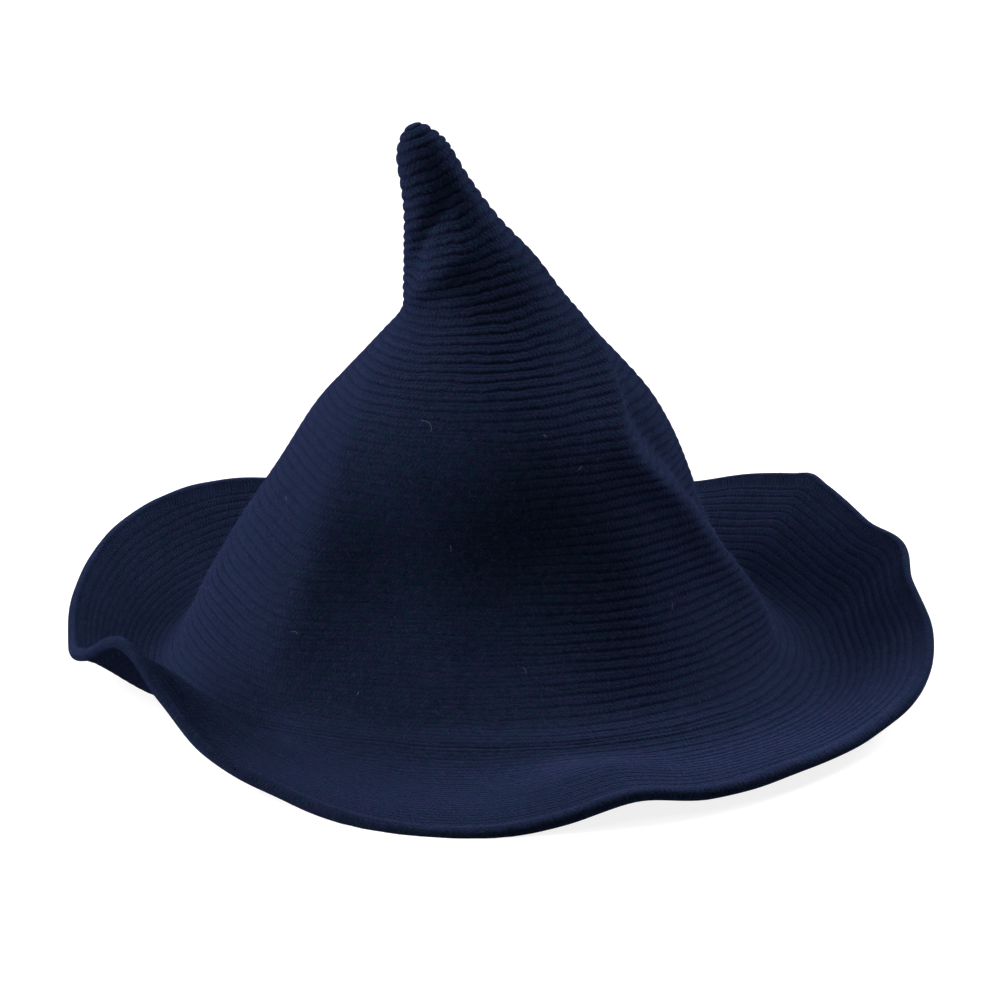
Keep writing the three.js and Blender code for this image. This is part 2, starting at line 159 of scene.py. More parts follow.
# Rings from the tip to the foot: height, sideways place, radius, tilt in degrees, depth as a share of width.
crown_rings = np.array([
    (0.2620, -0.0410, 0.0000, 22, 1.00),
    (0.2608, -0.0405, 0.0043, 22, 1.00),
    (0.2560, -0.0390, 0.0088, 21, 1.00),
    (0.2490, -0.0364, 0.0127, 20, 0.95),
    (0.2300, -0.0295, 0.0170, 18, 0.90),
    (0.2110, -0.0225, 0.0235, 15, 0.88),
    (0.1920, -0.0140, 0.0322, 11, 0.90),
    (0.1780, -0.0090, 0.0380, 7, 0.94),
    (0.1630, -0.0085, 0.0500, 4, 0.97),
    (0.1430, -0.0080, 0.0675, 2, 1.00),
    (0.1240, -0.0075, 0.0825, 0, 1.00),
    (0.0930, -0.0087, 0.1010, 0, 1.00),
    (0.0600, -0.0130, 0.1190, 0, 1.00),
    (0.0340, -0.0130, 0.1350, 0, 1.00),
    (0.0180, -0.0110, 0.1460, 0, 1.00),
    (0.0110, -0.0090, 0.1560, 0, 1.00),
])
foot = len(crown_rings) - 1
hem_line = foot + 1
foot_height = 0.0044
foot_rise = 0.013
foot_rise_from = 11

# Soft swells and hollows of the crown: angle, ring, size as a share of the radius, spread in degrees, spread
# in rings above the middle and below it, and how flat its middle is.
crown_swells = [
    (205, 12.0, -0.030, 18, 2.5, 2.5, 2),
    (60, 10.0, -0.030, 25, 3.0, 3.0, 2),
    (110, 11.0, 0.035, 22, 3.0, 3.0, 2),
    (266, 11.6, -0.140, 35, 0.95, 1.6, 4),
    (5, 9.8, 0.035, 25, 1.6, 1.8, 2),
]

# Sharp folds that run down the crown: size, spread in degrees, the rings where each starts, is full, fades
# and ends, and its angle at rings on the way.
crown_folds = [
    (0.112, 9, 6.8, 8.6, 11.8, 14.5,
     [(6, 350), (8, 344), (9, 329), (10, 320), (11, 332), (12.5, 346), (15, 350)]),
    (0.080, 13, 7.0, 10.4, 12.0, 14.5,
     [(6, 224), (8, 213), (9.5, 222), (11, 227), (12, 230), (15, 236)]),
    (-0.100, 11, 7.6, 9.0, 11.0, 13.0,
     [(6, 368), (8, 360), (9, 347), (10, 339), (11, 350), (15, 370)]),
]
fold_roundness = 3.5

# The crease under the peak: the cloth tucks in above it and rounds out below it, lowest at the right.
crease_ring = 5.37
crease_slant = 0.855
crease_low_side = 320
crease_tuck = -0.21
crease_shoulder = 0.14
crease_apart = 0.5
crease_spread = 0.36
crease_faces = 252
crease_width = 44

# Brim's edge: angle from +X towards the back, reach of the hem, height of the cloth at the hem.
brim_edge = np.array([
    (0, 0.203, 0.0340), (10, 0.207, 0.0400), (20, 0.204, 0.0390), (33, 0.207, 0.0455),
    (36, 0.208, 0.0475), (39, 0.207, 0.0450), (48, 0.204, 0.0380), (60, 0.205, 0.0260),
    (90, 0.205, 0.0190), (115, 0.205, 0.0230), (135, 0.203, 0.0380), (150, 0.2035, 0.0430),
    (165, 0.2075, 0.0390), (178, 0.211, 0.0270), (190, 0.2105, 0.0170), (202, 0.210, 0.0280),
    (212, 0.2045, 0.0440), (221, 0.2015, 0.0290), (230, 0.2035, 0.0160), (242, 0.2055, 0.0080),
    (255, 0.212, 0.0037), (268, 0.213, 0.0037), (277, 0.209, 0.0075), (286, 0.207, 0.0140),
    (296, 0.208, 0.0100), (308, 0.209, 0.0110), (322, 0.211, 0.0120), (335, 0.215, 0.0180),
    (347, 0.211, 0.0260),
])
brim_start_slope = -0.7
brim_end_lift = 1.35

# Folds that run in from the brim's edge: angle, height, spread in degrees, and how far round each one leans
# on its way.
brim_folds = [(213, 0.014, 11, 20), (286, 0.005, 10, 0), (36, 0.005, 8, 0)]
brim_fold_start = 0.05
hem_radius = 0.0031
hem_gap = 0.0003


def follow(places, values, at):
    """Cubic pieces through the points, with the slope at each taken from its neighbours."""
    slopes = np.empty(len(places))
    slopes[1:-1] = (values[2:] - values[:-2]) / (places[2:] - places[:-2])
    slopes[0] = (values[1] - values[0]) / (places[1] - places[0])
    slopes[-1] = (values[-1] - values[-2]) / (places[-1] - places[-2])
    right = np.clip(np.searchsorted(places, at, side="right"), 1, len(places) - 1)
    span = places[right] - places[right - 1]
    t = (at - places[right - 1]) / span
    return hermite(values[right - 1], values[right], slopes[right - 1] * span, slopes[right] * span, t)


def hermite(start, end, slope_start, slope_end, t):
    square, cube = t * t, t * t * t
    return (start * (2 * cube - 3 * square + 1) + slope_start * (cube - 2 * square + t)
            + end * (3 * square - 2 * cube) + slope_end * (cube - square))


def bell(distance, spread):
    return np.exp(-(distance / spread) ** 2)


def turn_from(degrees, middle):
    return (degrees - middle + 180) % 360 - 180


def ease(value, start, end):
    t = np.clip((value - start) / (end - start), 0, 1)
    return t * t * (3 - 2 * t)


def crown_swell(degrees, ring):
    swell = np.ones(ring.shape)
    for angle, middle, size, turn_spread, above, below, flatness in crown_swells:
        ring_spread = np.where(ring < middle, above, below)
        across = np.exp(-np.abs(turn_from(degrees, angle) / turn_spread) ** flatness)
        swell += size * across * bell(ring - middle, ring_spread)
    for size, spread, starts, full, fades, ends, path in crown_folds:
        path = np.array(path, float)
        angle = follow(path[:, 0], path[:, 1], np.clip(ring, path[0, 0], path[-1, 0]))
        away = np.sqrt(turn_from(degrees, angle) ** 2 + fold_roundness ** 2) - fold_roundness
        swell += size * np.exp(-away / spread) * ease(ring, starts, full) * (1 - ease(ring, fades, ends))
    facing = np.exp(-(turn_from(degrees, crease_faces) / crease_width) ** 4)
    crease_at = crease_ring - crease_slant * np.cos(np.radians(degrees - crease_low_side))
    swell += facing * crease_tuck * bell(ring - crease_at + crease_apart, crease_spread)
    swell += facing * crease_shoulder * bell(ring - crease_at - crease_apart, crease_spread)
    return swell


def crown_surface(degrees, ring):
    degrees, ring = np.broadcast_arrays(degrees, ring)
    numbers = np.arange(foot + 1)
    height, side, radius, tilt, depth = (follow(numbers, column, ring) for column in crown_rings.T)
    radius = radius * crown_swell(degrees, ring)
    turn, tilt = np.radians(degrees), np.radians(tilt)
    across = radius * np.cos(turn)
    front = np.maximum(0, -np.sin(turn)) ** 1.5
    rise = (foot_height + foot_rise * front - crown_rings[foot, 0]) * ease(ring, foot_rise_from, foot)
    x = side + across * np.cos(tilt)
    y = radius * depth * np.sin(turn)
    z = height + across * np.sin(tilt) + rise
    return np.stack([x, y, z], -1)


def brim_surface(degrees, share):
    degrees, share = np.broadcast_arrays(degrees, share)
    edge = np.concatenate([brim_edge + (turn, 0, 0) for turn in (-360, 0, 360)])
    reach = follow(edge[:, 0], edge[:, 1], degrees % 360) - 2 * hem_radius - hem_gap
    start = crown_surface(degrees, np.full(share.shape, float(foot)))
    turn = np.radians(degrees)
    edge_height = follow(edge[:, 0], edge[:, 2], degrees % 360)
    end = np.stack([reach * np.cos(turn), reach * np.sin(turn), edge_height], -1)
    width = np.hypot(end[..., 0] - start[..., 0], end[..., 1] - start[..., 1])
    point = start + (end - start) * share[..., None]
    climb = end[..., 2] - start[..., 2]
    height = hermite(start[..., 2], end[..., 2], brim_start_slope * width, brim_end_lift * climb, share)
    inward = np.sin(np.pi * ease(share, brim_fold_start, 1))
    for angle, lift, spread, lean in brim_folds:
        height = height + lift * inward * bell(turn_from(degrees, angle + lean * (1 - share)), spread)
    point[..., 2] = height
    return point


def knit_surface(degrees, ring):
    degrees, ring = np.broadcast_arrays(degrees, ring)
    on_crown = crown_surface(degrees, np.minimum(ring, foot))
    on_brim = brim_surface(degrees, np.maximum(ring - foot, 0))
    return np.where((ring <= foot)[..., None], on_crown, on_brim)


def unit(vectors):
    return vectors / np.maximum(np.linalg.norm(vectors, axis=-1, keepdims=True), 1e-12)


def knit_normal(degrees, ring):
    step = 0.02
    here = np.clip(ring, 0.1, hem_line - step)
    down = knit_surface(degrees, here + step) - knit_surface(degrees, here - step)
    round_it = knit_surface(degrees + 0.5, here) - knit_surface(degrees - 0.5, here)
    return unit(np.cross(down, round_it))


def drift(degrees, ring, seed, waves=7, most_turns=9):
    """A slow wander from -1 to 1 that meets itself after a whole turn."""
    dice = np.random.default_rng(seed)
    total = 0.0
    for _ in range(waves):
        turns = dice.integers(1, most_turns)
        rings = dice.uniform(-1.6, 1.6)
        phase = dice.uniform(0, 2 * math.pi)
        total = total + np.sin(np.radians(degrees) * turns + ring * rings + phase)
    return total / waves * 1.6


# Ridge number along the slope: the ridges are widest on the peak and closest on the brim.
ridge_pitch_peak = 0.0052
ridge_pitch_crown = 0.0048
ridge_pitch_brim = 0.0037
slope_rings = np.linspace(0, hem_line, 1200)
slope_angles = np.arange(0, 360, 22.5)
slope_points = knit_surface(slope_angles[:, None], slope_rings[None, :])
slope_steps = np.linalg.norm(np.diff(slope_points, axis=1), axis=-1).mean(0)
slope_pitch = np.interp(slope_rings[1:], [5, 10, 14, foot + 0.2],
                        [ridge_pitch_peak, ridge_pitch_crown, ridge_pitch_crown, ridge_pitch_brim])
ridge_numbers = np.concatenate([[0], np.cumsum(slope_steps / slope_pitch)])
foot_ridge = round(float(np.interp(foot, slope_rings, ridge_numbers)))
seam_ridge = foot_ridge + 0.5
hem_ridge = float(ridge_numbers[-1])


def ring_of(ridge):
    return np.interp(ridge, ridge_numbers, slope_rings)


depth_rings = [0, 1.5, 5, 9, 12, foot, hem_line]
depths = [0.0003, 0.0010, 0.0011, 0.0008, 0.0008, 0.0007, 0.0006]


def ridge_depth(degrees, ring):
    """How deep the ridges stand, in metres: nearly plain on the smooth front, shallower on the left."""
    depth = np.interp(ring, depth_rings, depths)
    front = 1.1 * bell(turn_from(degrees, 258), 43) * ease(ring, 8, 10)
    left = 0.2 * bell(turn_from(degrees, 190), 25) * ease(ring, 6, 8)
    return depth * (1 - 0.93 * np.clip(front + left, 0, 1))


def knitted(degrees, ridge, side=1):
    """The cloth's own surface with its ridges, on the outer (1) or inner (-1) side."""
    wander = 0.20 * drift(degrees, ridge * 0.45, 11) + 0.10 * drift(degrees, ridge * 1.3, 12, 9, 40)
    slant = 0.45 * np.cos(np.radians(degrees)) * ease(ridge, 2, 5) * (1 - ease(ridge, 9, 16))
    near_ends = ease(ridge, 1, 6) * ease(hem_ridge - ridge, 0.0, 1.0)
    ring = ring_of(np.clip(ridge + (wander - slant) * near_ends, 0, hem_ridge))
    depth = ridge_depth(degrees, ring) * (1 + 0.3 * drift(degrees, ridge * 0.9, 5, 9, 24))
    groove = np.abs(np.sin(np.pi * ridge)) ** 0.65 - 0.6
    dents = 0.0007 * drift(degrees, ring * 0.8, 23, 9, 7) * ease(ring, 1.5, 4)
    lift = depth * groove + dents
    if side < 0:
        lift = -knit_thickness + dents - 0.5 * depth * groove
    points = knit_surface(degrees, ring) + knit_normal(degrees, ring) * lift[..., None]
    return points + footprint_shift


stitch_width = 0.0023


def stitches_round(ridge):
    """How many stitches fit round the cloth at a ridge."""
    ring = ring_of(np.minimum(np.floor(ridge) + 0.5, hem_ridge))
    across = knit_surface(slope_angles[None, :], ring[:, None])
    round_it = np.linalg.norm(np.roll(across, 1, axis=1) - across, axis=-1).sum(1)
    return np.maximum(np.round(round_it / stitch_width), 4)


def grid_faces(rows, columns, first, flip=False):
    """Quads of a grid that closes on itself, and the row and column at each of their corners."""
    row, column = np.meshgrid(np.arange(rows - 1), np.arange(columns), indexing="ij")
    row, column = row.ravel(), column.ravel()
    corner_rows = np.stack([row, row + 1, row + 1, row], -1)
    corner_columns = np.stack([column, column, column + 1, column + 1], -1)
    if flip:
        corner_rows, corner_columns = corner_rows[:, ::-1], corner_columns[:, ::-1]
    faces = first + corner_rows * columns + corner_columns % columns
    return faces, corner_rows, corner_columns


def stitch_map(corner_rows, corner_columns, columns, ridges):
    """Stitches counted round and ridges counted down, at each corner of each face."""
    ridge_of_face = ridges[corner_rows].mean(-1)
    counts = stitches_round(ridge_of_face)
    across = corner_columns / columns * counts[:, None]
    return np.stack([across, ridges[corner_rows]], -1).reshape(-1, 2)


def make_piece(name, points, faces, pattern=None, flat_faces=(), relief=None):
    mesh = bpy.data.meshes.new(name)
    mesh.from_pydata(np.asarray(points).tolist(), [], faces)
    mesh.shade_smooth()
    for number in flat_faces:
        mesh.polygons[number].use_smooth = False
    if pattern is not None:
        layer = mesh.uv_layers.new(name="Stitches")
        layer.data.foreach_set("uv", np.asarray(pattern, float).ravel())
    if relief is not None:
        mesh.attributes.new("Relief", "FLOAT", "POINT").data.foreach_set("value", relief)
    mesh.update()
    piece = bpy.data.objects.new(name, mesh)
    scene.collection.objects.link(piece)
    return piece


crown_columns = 192
rows_per_ridge = 6
full_relief = 0.0012
outer_ridges = np.append(np.arange(1, round(seam_ridge * rows_per_ridge)) / rows_per_ridge, seam_ridge)
inner_ridges = np.arange(2, round(seam_ridge * 2) + 1) / 2
outer_angles = np.arange(crown_columns) * 360 / crown_columns
inner_angles = outer_angles[::2]
inner_columns = len(inner_angles)
outer_points = knitted(outer_angles[None, :], outer_ridges[:, None])
inner_points = knitted(inner_angles[None, :], inner_ridges[:, None], side=-1)
tip_outside = outer_points[0].mean(0) + (0, 0, 0.0003)
tip_inside = inner_points[0].mean(0)

crown_points = np.concatenate([outer_points.reshape(-1, 3), inner_points.reshape(-1, 3),
                               [tip_outside, tip_inside]])
inner_first = outer_points.shape[0] * crown_columns
outside_faces, outside_rows, outside_columns = grid_faces(len(outer_ridges), crown_columns, 0)
inside_faces, inside_rows, inside_columns = grid_faces(
    len(inner_ridges), inner_columns, inner_first, flip=True)
crown_faces = outside_faces.tolist() + inside_faces.tolist()
crown_pattern = [
    stitch_map(outside_rows, outside_columns, crown_columns, outer_ridges),
    stitch_map(inside_rows, inside_columns, inner_columns, inner_ridges),
]

# The tip closes on one point outside and one inside. The foot's edge joins the outside to the inside, which
# has half as many columns.
tip_faces = []
for column in range(crown_columns):
    tip_faces.append((len(crown_points) - 2, column, (column + 1) % crown_columns))
for column in range(inner_columns):
    beside = (column + 1) % inner_columns
    tip_faces.append((len(crown_points) - 1, inner_first + beside, inner_first + column))
rim_faces = []
outer_rim = (len(outer_ridges) - 1) * crown_columns
inner_rim = inner_first + (len(inner_ridges) - 1) * inner_columns
for column in range(inner_columns):
    left, middle, right = (outer_rim + (2 * column + step) % crown_columns for step in range(3))
    inside, beside = inner_rim + column, inner_rim + (column + 1) % inner_columns
    rim_faces += [(left, inside, middle), (middle, inside, beside), (middle, beside, right)]
crown_pattern.append(np.zeros((3 * (len(tip_faces) + len(rim_faces)), 2)))
rim_numbers = range(len(crown_faces) + len(tip_faces), len(crown_faces) + len(tip_faces) + len(rim_faces))
crown_faces += tip_faces + rim_faces
crown_relief = np.zeros(len(crown_points))
outer_depth = ridge_depth(outer_angles[None, :], ring_of(outer_ridges)[:, None])
crown_relief[:inner_first] = outer_depth.ravel() / full_relief
crown_cloth = make_piece("crown_cloth", crown_points, crown_faces, np.concatenate(crown_pattern), rim_numbers,
                         crown_relief)


def calc(tree, operation, first, second=None, third=None):
    """A maths node on sockets or numbers; returns its output socket."""
    node = tree.nodes.new("ShaderNodeMath")
    node.operation = operation
    for socket, value in zip(node.inputs, (first, second, third)):
        if value is None:
            continue
        if isinstance(value, bpy.types.NodeSocket):
            tree.links.new(value, socket)
        else:
            socket.default_value = value
    return node.outputs[0]


def new_group(name, inputs, outputs):
    """An empty shader group; inputs are (name, type, default), outputs are (name, type)."""
    group = bpy.data.node_groups.new(name, "ShaderNodeTree")
    for label, kind, default in inputs:
        socket = group.interface.new_socket(name=label, in_out="INPUT", socket_type=kind)
        if default is not None:
            socket.default_value = default
    for label, kind in outputs:
        group.interface.new_socket(name=label, in_out="OUTPUT", socket_type=kind)
    source = group.nodes.new("NodeGroupInput")
    result = group.nodes.new("NodeGroupOutput")
    return group, source.outputs, result.inputs


def knit_stitches_group():
    """Two rows of rounded stitches to each ridge, set half a stitch apart."""
    group, given, result = new_group(
        "knit_stitches",
        [("Stitches", "NodeSocketVector", None), ("Sway", "NodeSocketFloat", 0.0)],
        [("Height", "NodeSocketFloat"), ("Crest", "NodeSocketFloat"), ("Stitch Tint", "NodeSocketFloat")],
    )
    split = group.nodes.new("ShaderNodeSeparateXYZ")
    group.links.new(given["Stitches"], split.inputs[0])
    rows = calc(group, "MULTIPLY_ADD", given["Sway"], 0.25, calc(group, "MULTIPLY", split.outputs["Y"], 2.0))
    row_number = calc(group, "FLOOR", rows)
    shifted = calc(group, "MULTIPLY_ADD", row_number, 0.5, split.outputs["X"])
    swayed = calc(group, "MULTIPLY_ADD", given["Sway"], 0.8, shifted)
    across = calc(group, "ABSOLUTE", calc(group, "SINE", calc(group, "MULTIPLY", swayed, math.pi)))
    down = calc(group, "ABSOLUTE", calc(group, "SINE", calc(group, "MULTIPLY", rows, math.pi)))
    bead = calc(group, "MULTIPLY", calc(group, "POWER", across, 0.4), calc(group, "POWER", down, 0.6))
    group.links.new(bead, result["Height"])
    ridge = calc(group, "ABSOLUTE", calc(group, "SINE", calc(group, "MULTIPLY", split.outputs["Y"], math.pi)))
    group.links.new(calc(group, "POWER", ridge, 0.6), result["Crest"])
    dice = group.nodes.new("ShaderNodeTexWhiteNoise")
    dice.noise_dimensions = "2D"
    cell = group.nodes.new("ShaderNodeCombineXYZ")
    group.links.new(calc(group, "FLOOR", swayed), cell.inputs["X"])
    group.links.new(row_number, cell.inputs["Y"])
    group.links.new(cell.outputs[0], dice.inputs["Vector"])
    group.links.new(dice.outputs["Value"], result["Stitch Tint"])
    return group


def wool_nap_group():
    """The nap of short fibres over wool: a fine uneven height, pale flecks and slow cloudy patches."""
    group, given, result = new_group(
        "wool_nap",
        [("Place", "NodeSocketVector", None), ("Fibre Scale", "NodeSocketFloat", 1100.0),
         ("Cloud Scale", "NodeSocketFloat", 26.0)],
        [("Height", "NodeSocketFloat"), ("Flecks", "NodeSocketFloat"), ("Clouds", "NodeSocketFloat"),
         ("Blotches", "NodeSocketFloat")],
    )
    fibres = group.nodes.new("ShaderNodeTexNoise")
    fibres.inputs["Detail"].default_value = 5.0
    fibres.inputs["Roughness"].default_value = 0.7
    fibres.inputs["Distortion"].default_value = 1.5
    clouds = group.nodes.new("ShaderNodeTexNoise")
    clouds.inputs["Detail"].default_value = 3.0
    blotches = group.nodes.new("ShaderNodeTexNoise")
    blotches.inputs["Detail"].default_value = 2.0
    flecks = group.nodes.new("ShaderNodeTexVoronoi")
    flecks.feature = "DISTANCE_TO_EDGE"
    blotch_scale = calc(group, "MULTIPLY", given["Fibre Scale"], 0.3)
    fleck_scale = calc(group, "MULTIPLY", given["Fibre Scale"], 0.8)
    scales = ((fibres, given["Fibre Scale"]), (clouds, given["Cloud Scale"]), (blotches, blotch_scale),
              (flecks, fleck_scale))
    for texture, scale in scales:
        group.links.new(given["Place"], texture.inputs["Vector"])
        group.links.new(scale, texture.inputs["Scale"])
    group.links.new(fibres.outputs["Fac"], result["Height"])
    group.links.new(calc(group, "LESS_THAN", flecks.outputs["Distance"], 0.04), result["Flecks"])
    group.links.new(clouds.outputs["Fac"], result["Clouds"])
    group.links.new(blotches.outputs["Fac"], result["Blotches"])
    return group


knit_stitches = knit_stitches_group()
wool_nap = wool_nap_group()


def new_material(name, roughness, sheen=0.0, sheen_tint=(1, 1, 1, 1), sheen_roughness=0.5, specular=0.03):
    material = bpy.data.materials.new(name)
    material.use_nodes = True
    shader = material.node_tree.nodes["Principled BSDF"]
    shader.inputs["Roughness"].default_value = roughness
    shader.inputs["Specular IOR Level"].default_value = specular
    shader.inputs["Sheen Weight"].default_value = sheen
    shader.inputs["Sheen Roughness"].default_value = sheen_roughness
    shader.inputs["Sheen Tint"].default_value = sheen_tint
    return material, material.node_tree, shader


def use_group(tree, group, **values):
    node = tree.nodes.new("ShaderNodeGroup")
    node.node_tree = group
    for label, value in values.items():
        socket = node.inputs[label.replace("_", " ")]
        if isinstance(value, bpy.types.NodeSocket):
            tree.links.new(value, socket)
        else:
            socket.default_value = value
    return node.outputs


def colour_between(tree, share, low, high):
    mix = tree.nodes.new("ShaderNodeMix")
    mix.data_type = "RGBA"
    for socket, value in ((mix.inputs["Factor"], share), (mix.inputs[6], low), (mix.inputs[7], high)):
        if isinstance(value, bpy.types.NodeSocket):
            tree.links.new(value, socket)
        else:
            socket.default_value = value
    return mix.outputs[2]


def add_bump(tree, shader, height, distance, strength=1.0):
    bump = tree.nodes.new("ShaderNodeBump")
    bump.inputs["Strength"].default_value = strength
    bump.inputs["Distance"].default_value = distance
    tree.links.new(height, bump.inputs["Height"])
    tree.links.new(bump.outputs["Normal"], shader.inputs["Normal"])


def object_place(tree):
    return tree.nodes.new("ShaderNodeTexCoord").outputs["Object"]


def own_map(tree, name):
    node = tree.nodes.new("ShaderNodeUVMap")
    node.uv_map = name
    return node.outputs[0]


def navy_wool_knit():
    """Matte felted wool, navy on the crests with a blue-violet bloom of fuzz; the grooves and the dips
    between stitches are darkened to teal-black as painted shade.
    """
    material, tree, shader = new_material("navy_wool_knit", 1.0, 0.18, (0.23, 0.30, 0.84, 1), 0.36, 0.0)
    nap = use_group(tree, wool_nap, Place=object_place(tree))
    stitches = use_group(tree, knit_stitches, Stitches=own_map(tree, "Stitches"), Sway=nap["Blotches"])
    relief = tree.nodes.new("ShaderNodeAttribute")
    relief.attribute_name = "Relief"
    clear = calc(tree, "MULTIPLY_ADD", relief.outputs["Fac"], 0.7, 0.3)
    shade = calc(tree, "MULTIPLY_ADD", stitches["Stitch Tint"], 0.25, 0.2)
    # Painted shade: the colour is lighter on each stitch's raised bead and darker between the stitches.
    shade = calc(tree, "MULTIPLY_ADD", calc(tree, "MULTIPLY", stitches["Height"], clear), 0.45, shade)
    shade = calc(tree, "MULTIPLY_ADD", calc(tree, "SUBTRACT", nap["Clouds"], 0.5), 0.4, shade)
    shade = calc(tree, "MULTIPLY_ADD", calc(tree, "SUBTRACT", nap["Height"], 0.5), 2.4, shade)
    # Painted shade: the grooves between the ridges are darkened, more where the ridges stand deeper.
    groove = calc(tree, "MULTIPLY", calc(tree, "SUBTRACT", 1.0, stitches["Crest"]), relief.outputs["Fac"])
    shade = calc(tree, "MULTIPLY_ADD", groove, -1.3, shade)
    hue = calc(tree, "MULTIPLY_ADD", calc(tree, "SUBTRACT", nap["Blotches"], 0.5), 5.0, 0.5)
    crest_colour = colour_between(tree, hue, (0.0050, 0.0235, 0.030, 1), (0.0175, 0.0190, 0.049, 1))
    colour = colour_between(tree, shade, (0.0010, 0.0032, 0.0046, 1), crest_colour)
    flecks = calc(tree, "MULTIPLY", nap["Flecks"], 0.3)
    flecked = colour_between(tree, flecks, colour, (0.022, 0.028, 0.09, 1))
    tree.links.new(flecked, shader.inputs["Base Color"])
    bead = calc(tree, "MULTIPLY", calc(tree, "MULTIPLY", stitches["Height"], clear), 0.9)
    height = calc(tree, "MULTIPLY_ADD", nap["Height"], 1.5, bead)
    add_bump(tree, shader, height, 0.0011)
    return material


navy_knit = navy_wool_knit()
crown_cloth.data.materials.append(navy_knit)
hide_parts("crown_knit", "peak_bend_knit", "peak_knit")
bend_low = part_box("peak_bend_knit")[0].z
bend_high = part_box("peak_knit")[0].z
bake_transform(crown_cloth, "hat", "peak", start=(0, 0, bend_low), end=(0, 0, bend_high))

# ---------------------------------------------------------------------------------------------------------
# Brim: the same knit goes on outwards in a wide wave. Its edge is rolled under round a wire and sewn down,
# so one section runs out along the top, round the roll and back along the underside.
brim_columns = 384
brim_angles = np.arange(brim_columns) * 360 / brim_columns
hem_roll_steps = 17
hem_roll_from, hem_roll_to = 122, -158
hem_flatness_above = 0.85
hem_ripple = 0.0002
hem_unevenness = 0.07


def hem_frame(degrees):
    """Middle of the rolled hem, the brim's outward direction there and its upward normal."""
    end = brim_surface(degrees, 1.0)
    along = unit(brim_surface(degrees + 1, 1.0) - brim_surface(degrees - 1, 1.0))
    out = end - brim_surface(degrees, 0.97)
    out = unit(out - along * (out * along).sum(-1, keepdims=True))
    normal = unit(np.cross(out, along))
    middle = end + out * (hem_radius + hem_gap) - normal * knit_thickness / 2
    return middle, out, normal


top_rows = int((hem_ridge - seam_ridge) * rows_per_ridge)
top_ridges = np.append(seam_ridge + np.arange(top_rows) / rows_per_ridge, hem_ridge)
under_ridges = np.append(np.arange(hem_ridge - 0.02, seam_ridge + 0.1, -1 / 3), seam_ridge)
top_points = knitted(brim_angles[None, :], top_ridges[:, None])
under_points = knitted(brim_angles[None, :], under_ridges[:, None], side=-1)
roll_middle, roll_out, roll_normal = hem_frame(brim_angles)
roll_shares = np.linspace(0, 1, hem_roll_steps)
roll_turns = np.radians(hem_roll_from + (hem_roll_to - hem_roll_from) * roll_shares)
roll_radius = hem_radius + hem_ripple * (np.abs(np.sin(2 * np.pi * roll_shares)) - 0.6)
roll_drift = drift(brim_angles[None, :], roll_shares[:, None] * 3, 41, 9, 40)
roll_radius = roll_radius[:, None] * (1 + hem_unevenness * roll_drift)
roll_across = roll_radius * np.cos(roll_turns)[:, None]
roll_up = roll_radius * np.sin(roll_turns)[:, None]
roll_up = np.where(roll_up > 0, roll_up * hem_flatness_above, roll_up)
roll_points = (roll_middle + footprint_shift
               + roll_out * roll_across[..., None] + roll_normal * roll_up[..., None])
brim_points = np.concatenate([top_points, roll_points, under_points])
brim_points[..., 2] = np.maximum(brim_points[..., 2], 0.0)
brim_rows = len(brim_points)
roll_ridges = hem_ridge + 2 * roll_shares
brim_ridges = np.concatenate([top_ridges, roll_ridges, under_ridges])
brim_faces, brim_corner_rows, brim_corner_columns = grid_faces(brim_rows, brim_columns, 0)
brim_pattern = stitch_map(brim_corner_rows, brim_corner_columns, brim_columns, brim_ridges)
brim_faces = brim_faces.tolist()
brim_rim = []
for column in range(brim_columns):
    beside = (column + 1) % brim_columns
    last = (brim_rows - 1) * brim_columns
    brim_rim.append((last + column, column, beside, last + beside))
brim_pattern = np.concatenate([brim_pattern, np.zeros((4 * len(brim_rim), 2))])
brim_rim_numbers = range(len(brim_faces), len(brim_faces) + len(brim_rim))
brim_faces += brim_rim
brim_relief = np.full(brim_points.shape[:2], 0.3)
brim_relief[:len(top_ridges)] = ridge_depth(brim_angles[None, :], ring_of(top_ridges)[:, None]) / full_relief
brim_cloth = make_piece("brim_cloth", brim_points.reshape(-1, 3), brim_faces, brim_pattern, brim_rim_numbers,
                        brim_relief.ravel())
brim_cloth.data.materials.append(navy_knit)
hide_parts("brim_knit", "brim_fold_knit", "brim_front_knit", "hem_knit", "hem_front_knit",
            "hem_fold_left_knit", "hem_fold_right_knit")
fold_low, fold_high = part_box("brim_fold_knit")
fold_start = (0, fold_high.y, fold_high.z)
fold_end = (0, fold_low.y, fold_high.z)
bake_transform(brim_cloth, "hat", "brim_front", start=fold_start, end=fold_end)

# ---------------------------------------------------------------------------------------------------------
# Shaping wire: one round of spring steel inside the rolled hem, which keeps the brim's waves. Its ends meet
# in a crimped brass sleeve.
wire_radius = 0.00045
wire_columns = 432
wire_sides = 8
wire_angles = np.arange(wire_columns) * 360 / wire_columns
wire_middle, wire_out, wire_normal = hem_frame(wire_angles)
wire_turns = -np.arange(wire_sides + 1) * 2 * math.pi / wire_sides
wire_across = wire_out * (wire_radius * np.cos(wire_turns))[:, None, None]
wire_up = wire_normal * (wire_radius * np.sin(wire_turns))[:, None, None]
wire_points = (wire_middle + footprint_shift + wire_across + wire_up)[:wire_sides]
wire_grid, _, _ = grid_faces(wire_sides + 1, wire_columns, 0)
wire_faces = wire_grid % (wire_sides * wire_columns)
wire_loop = make_piece("wire_loop", wire_points.reshape(-1, 3), wire_faces.tolist())


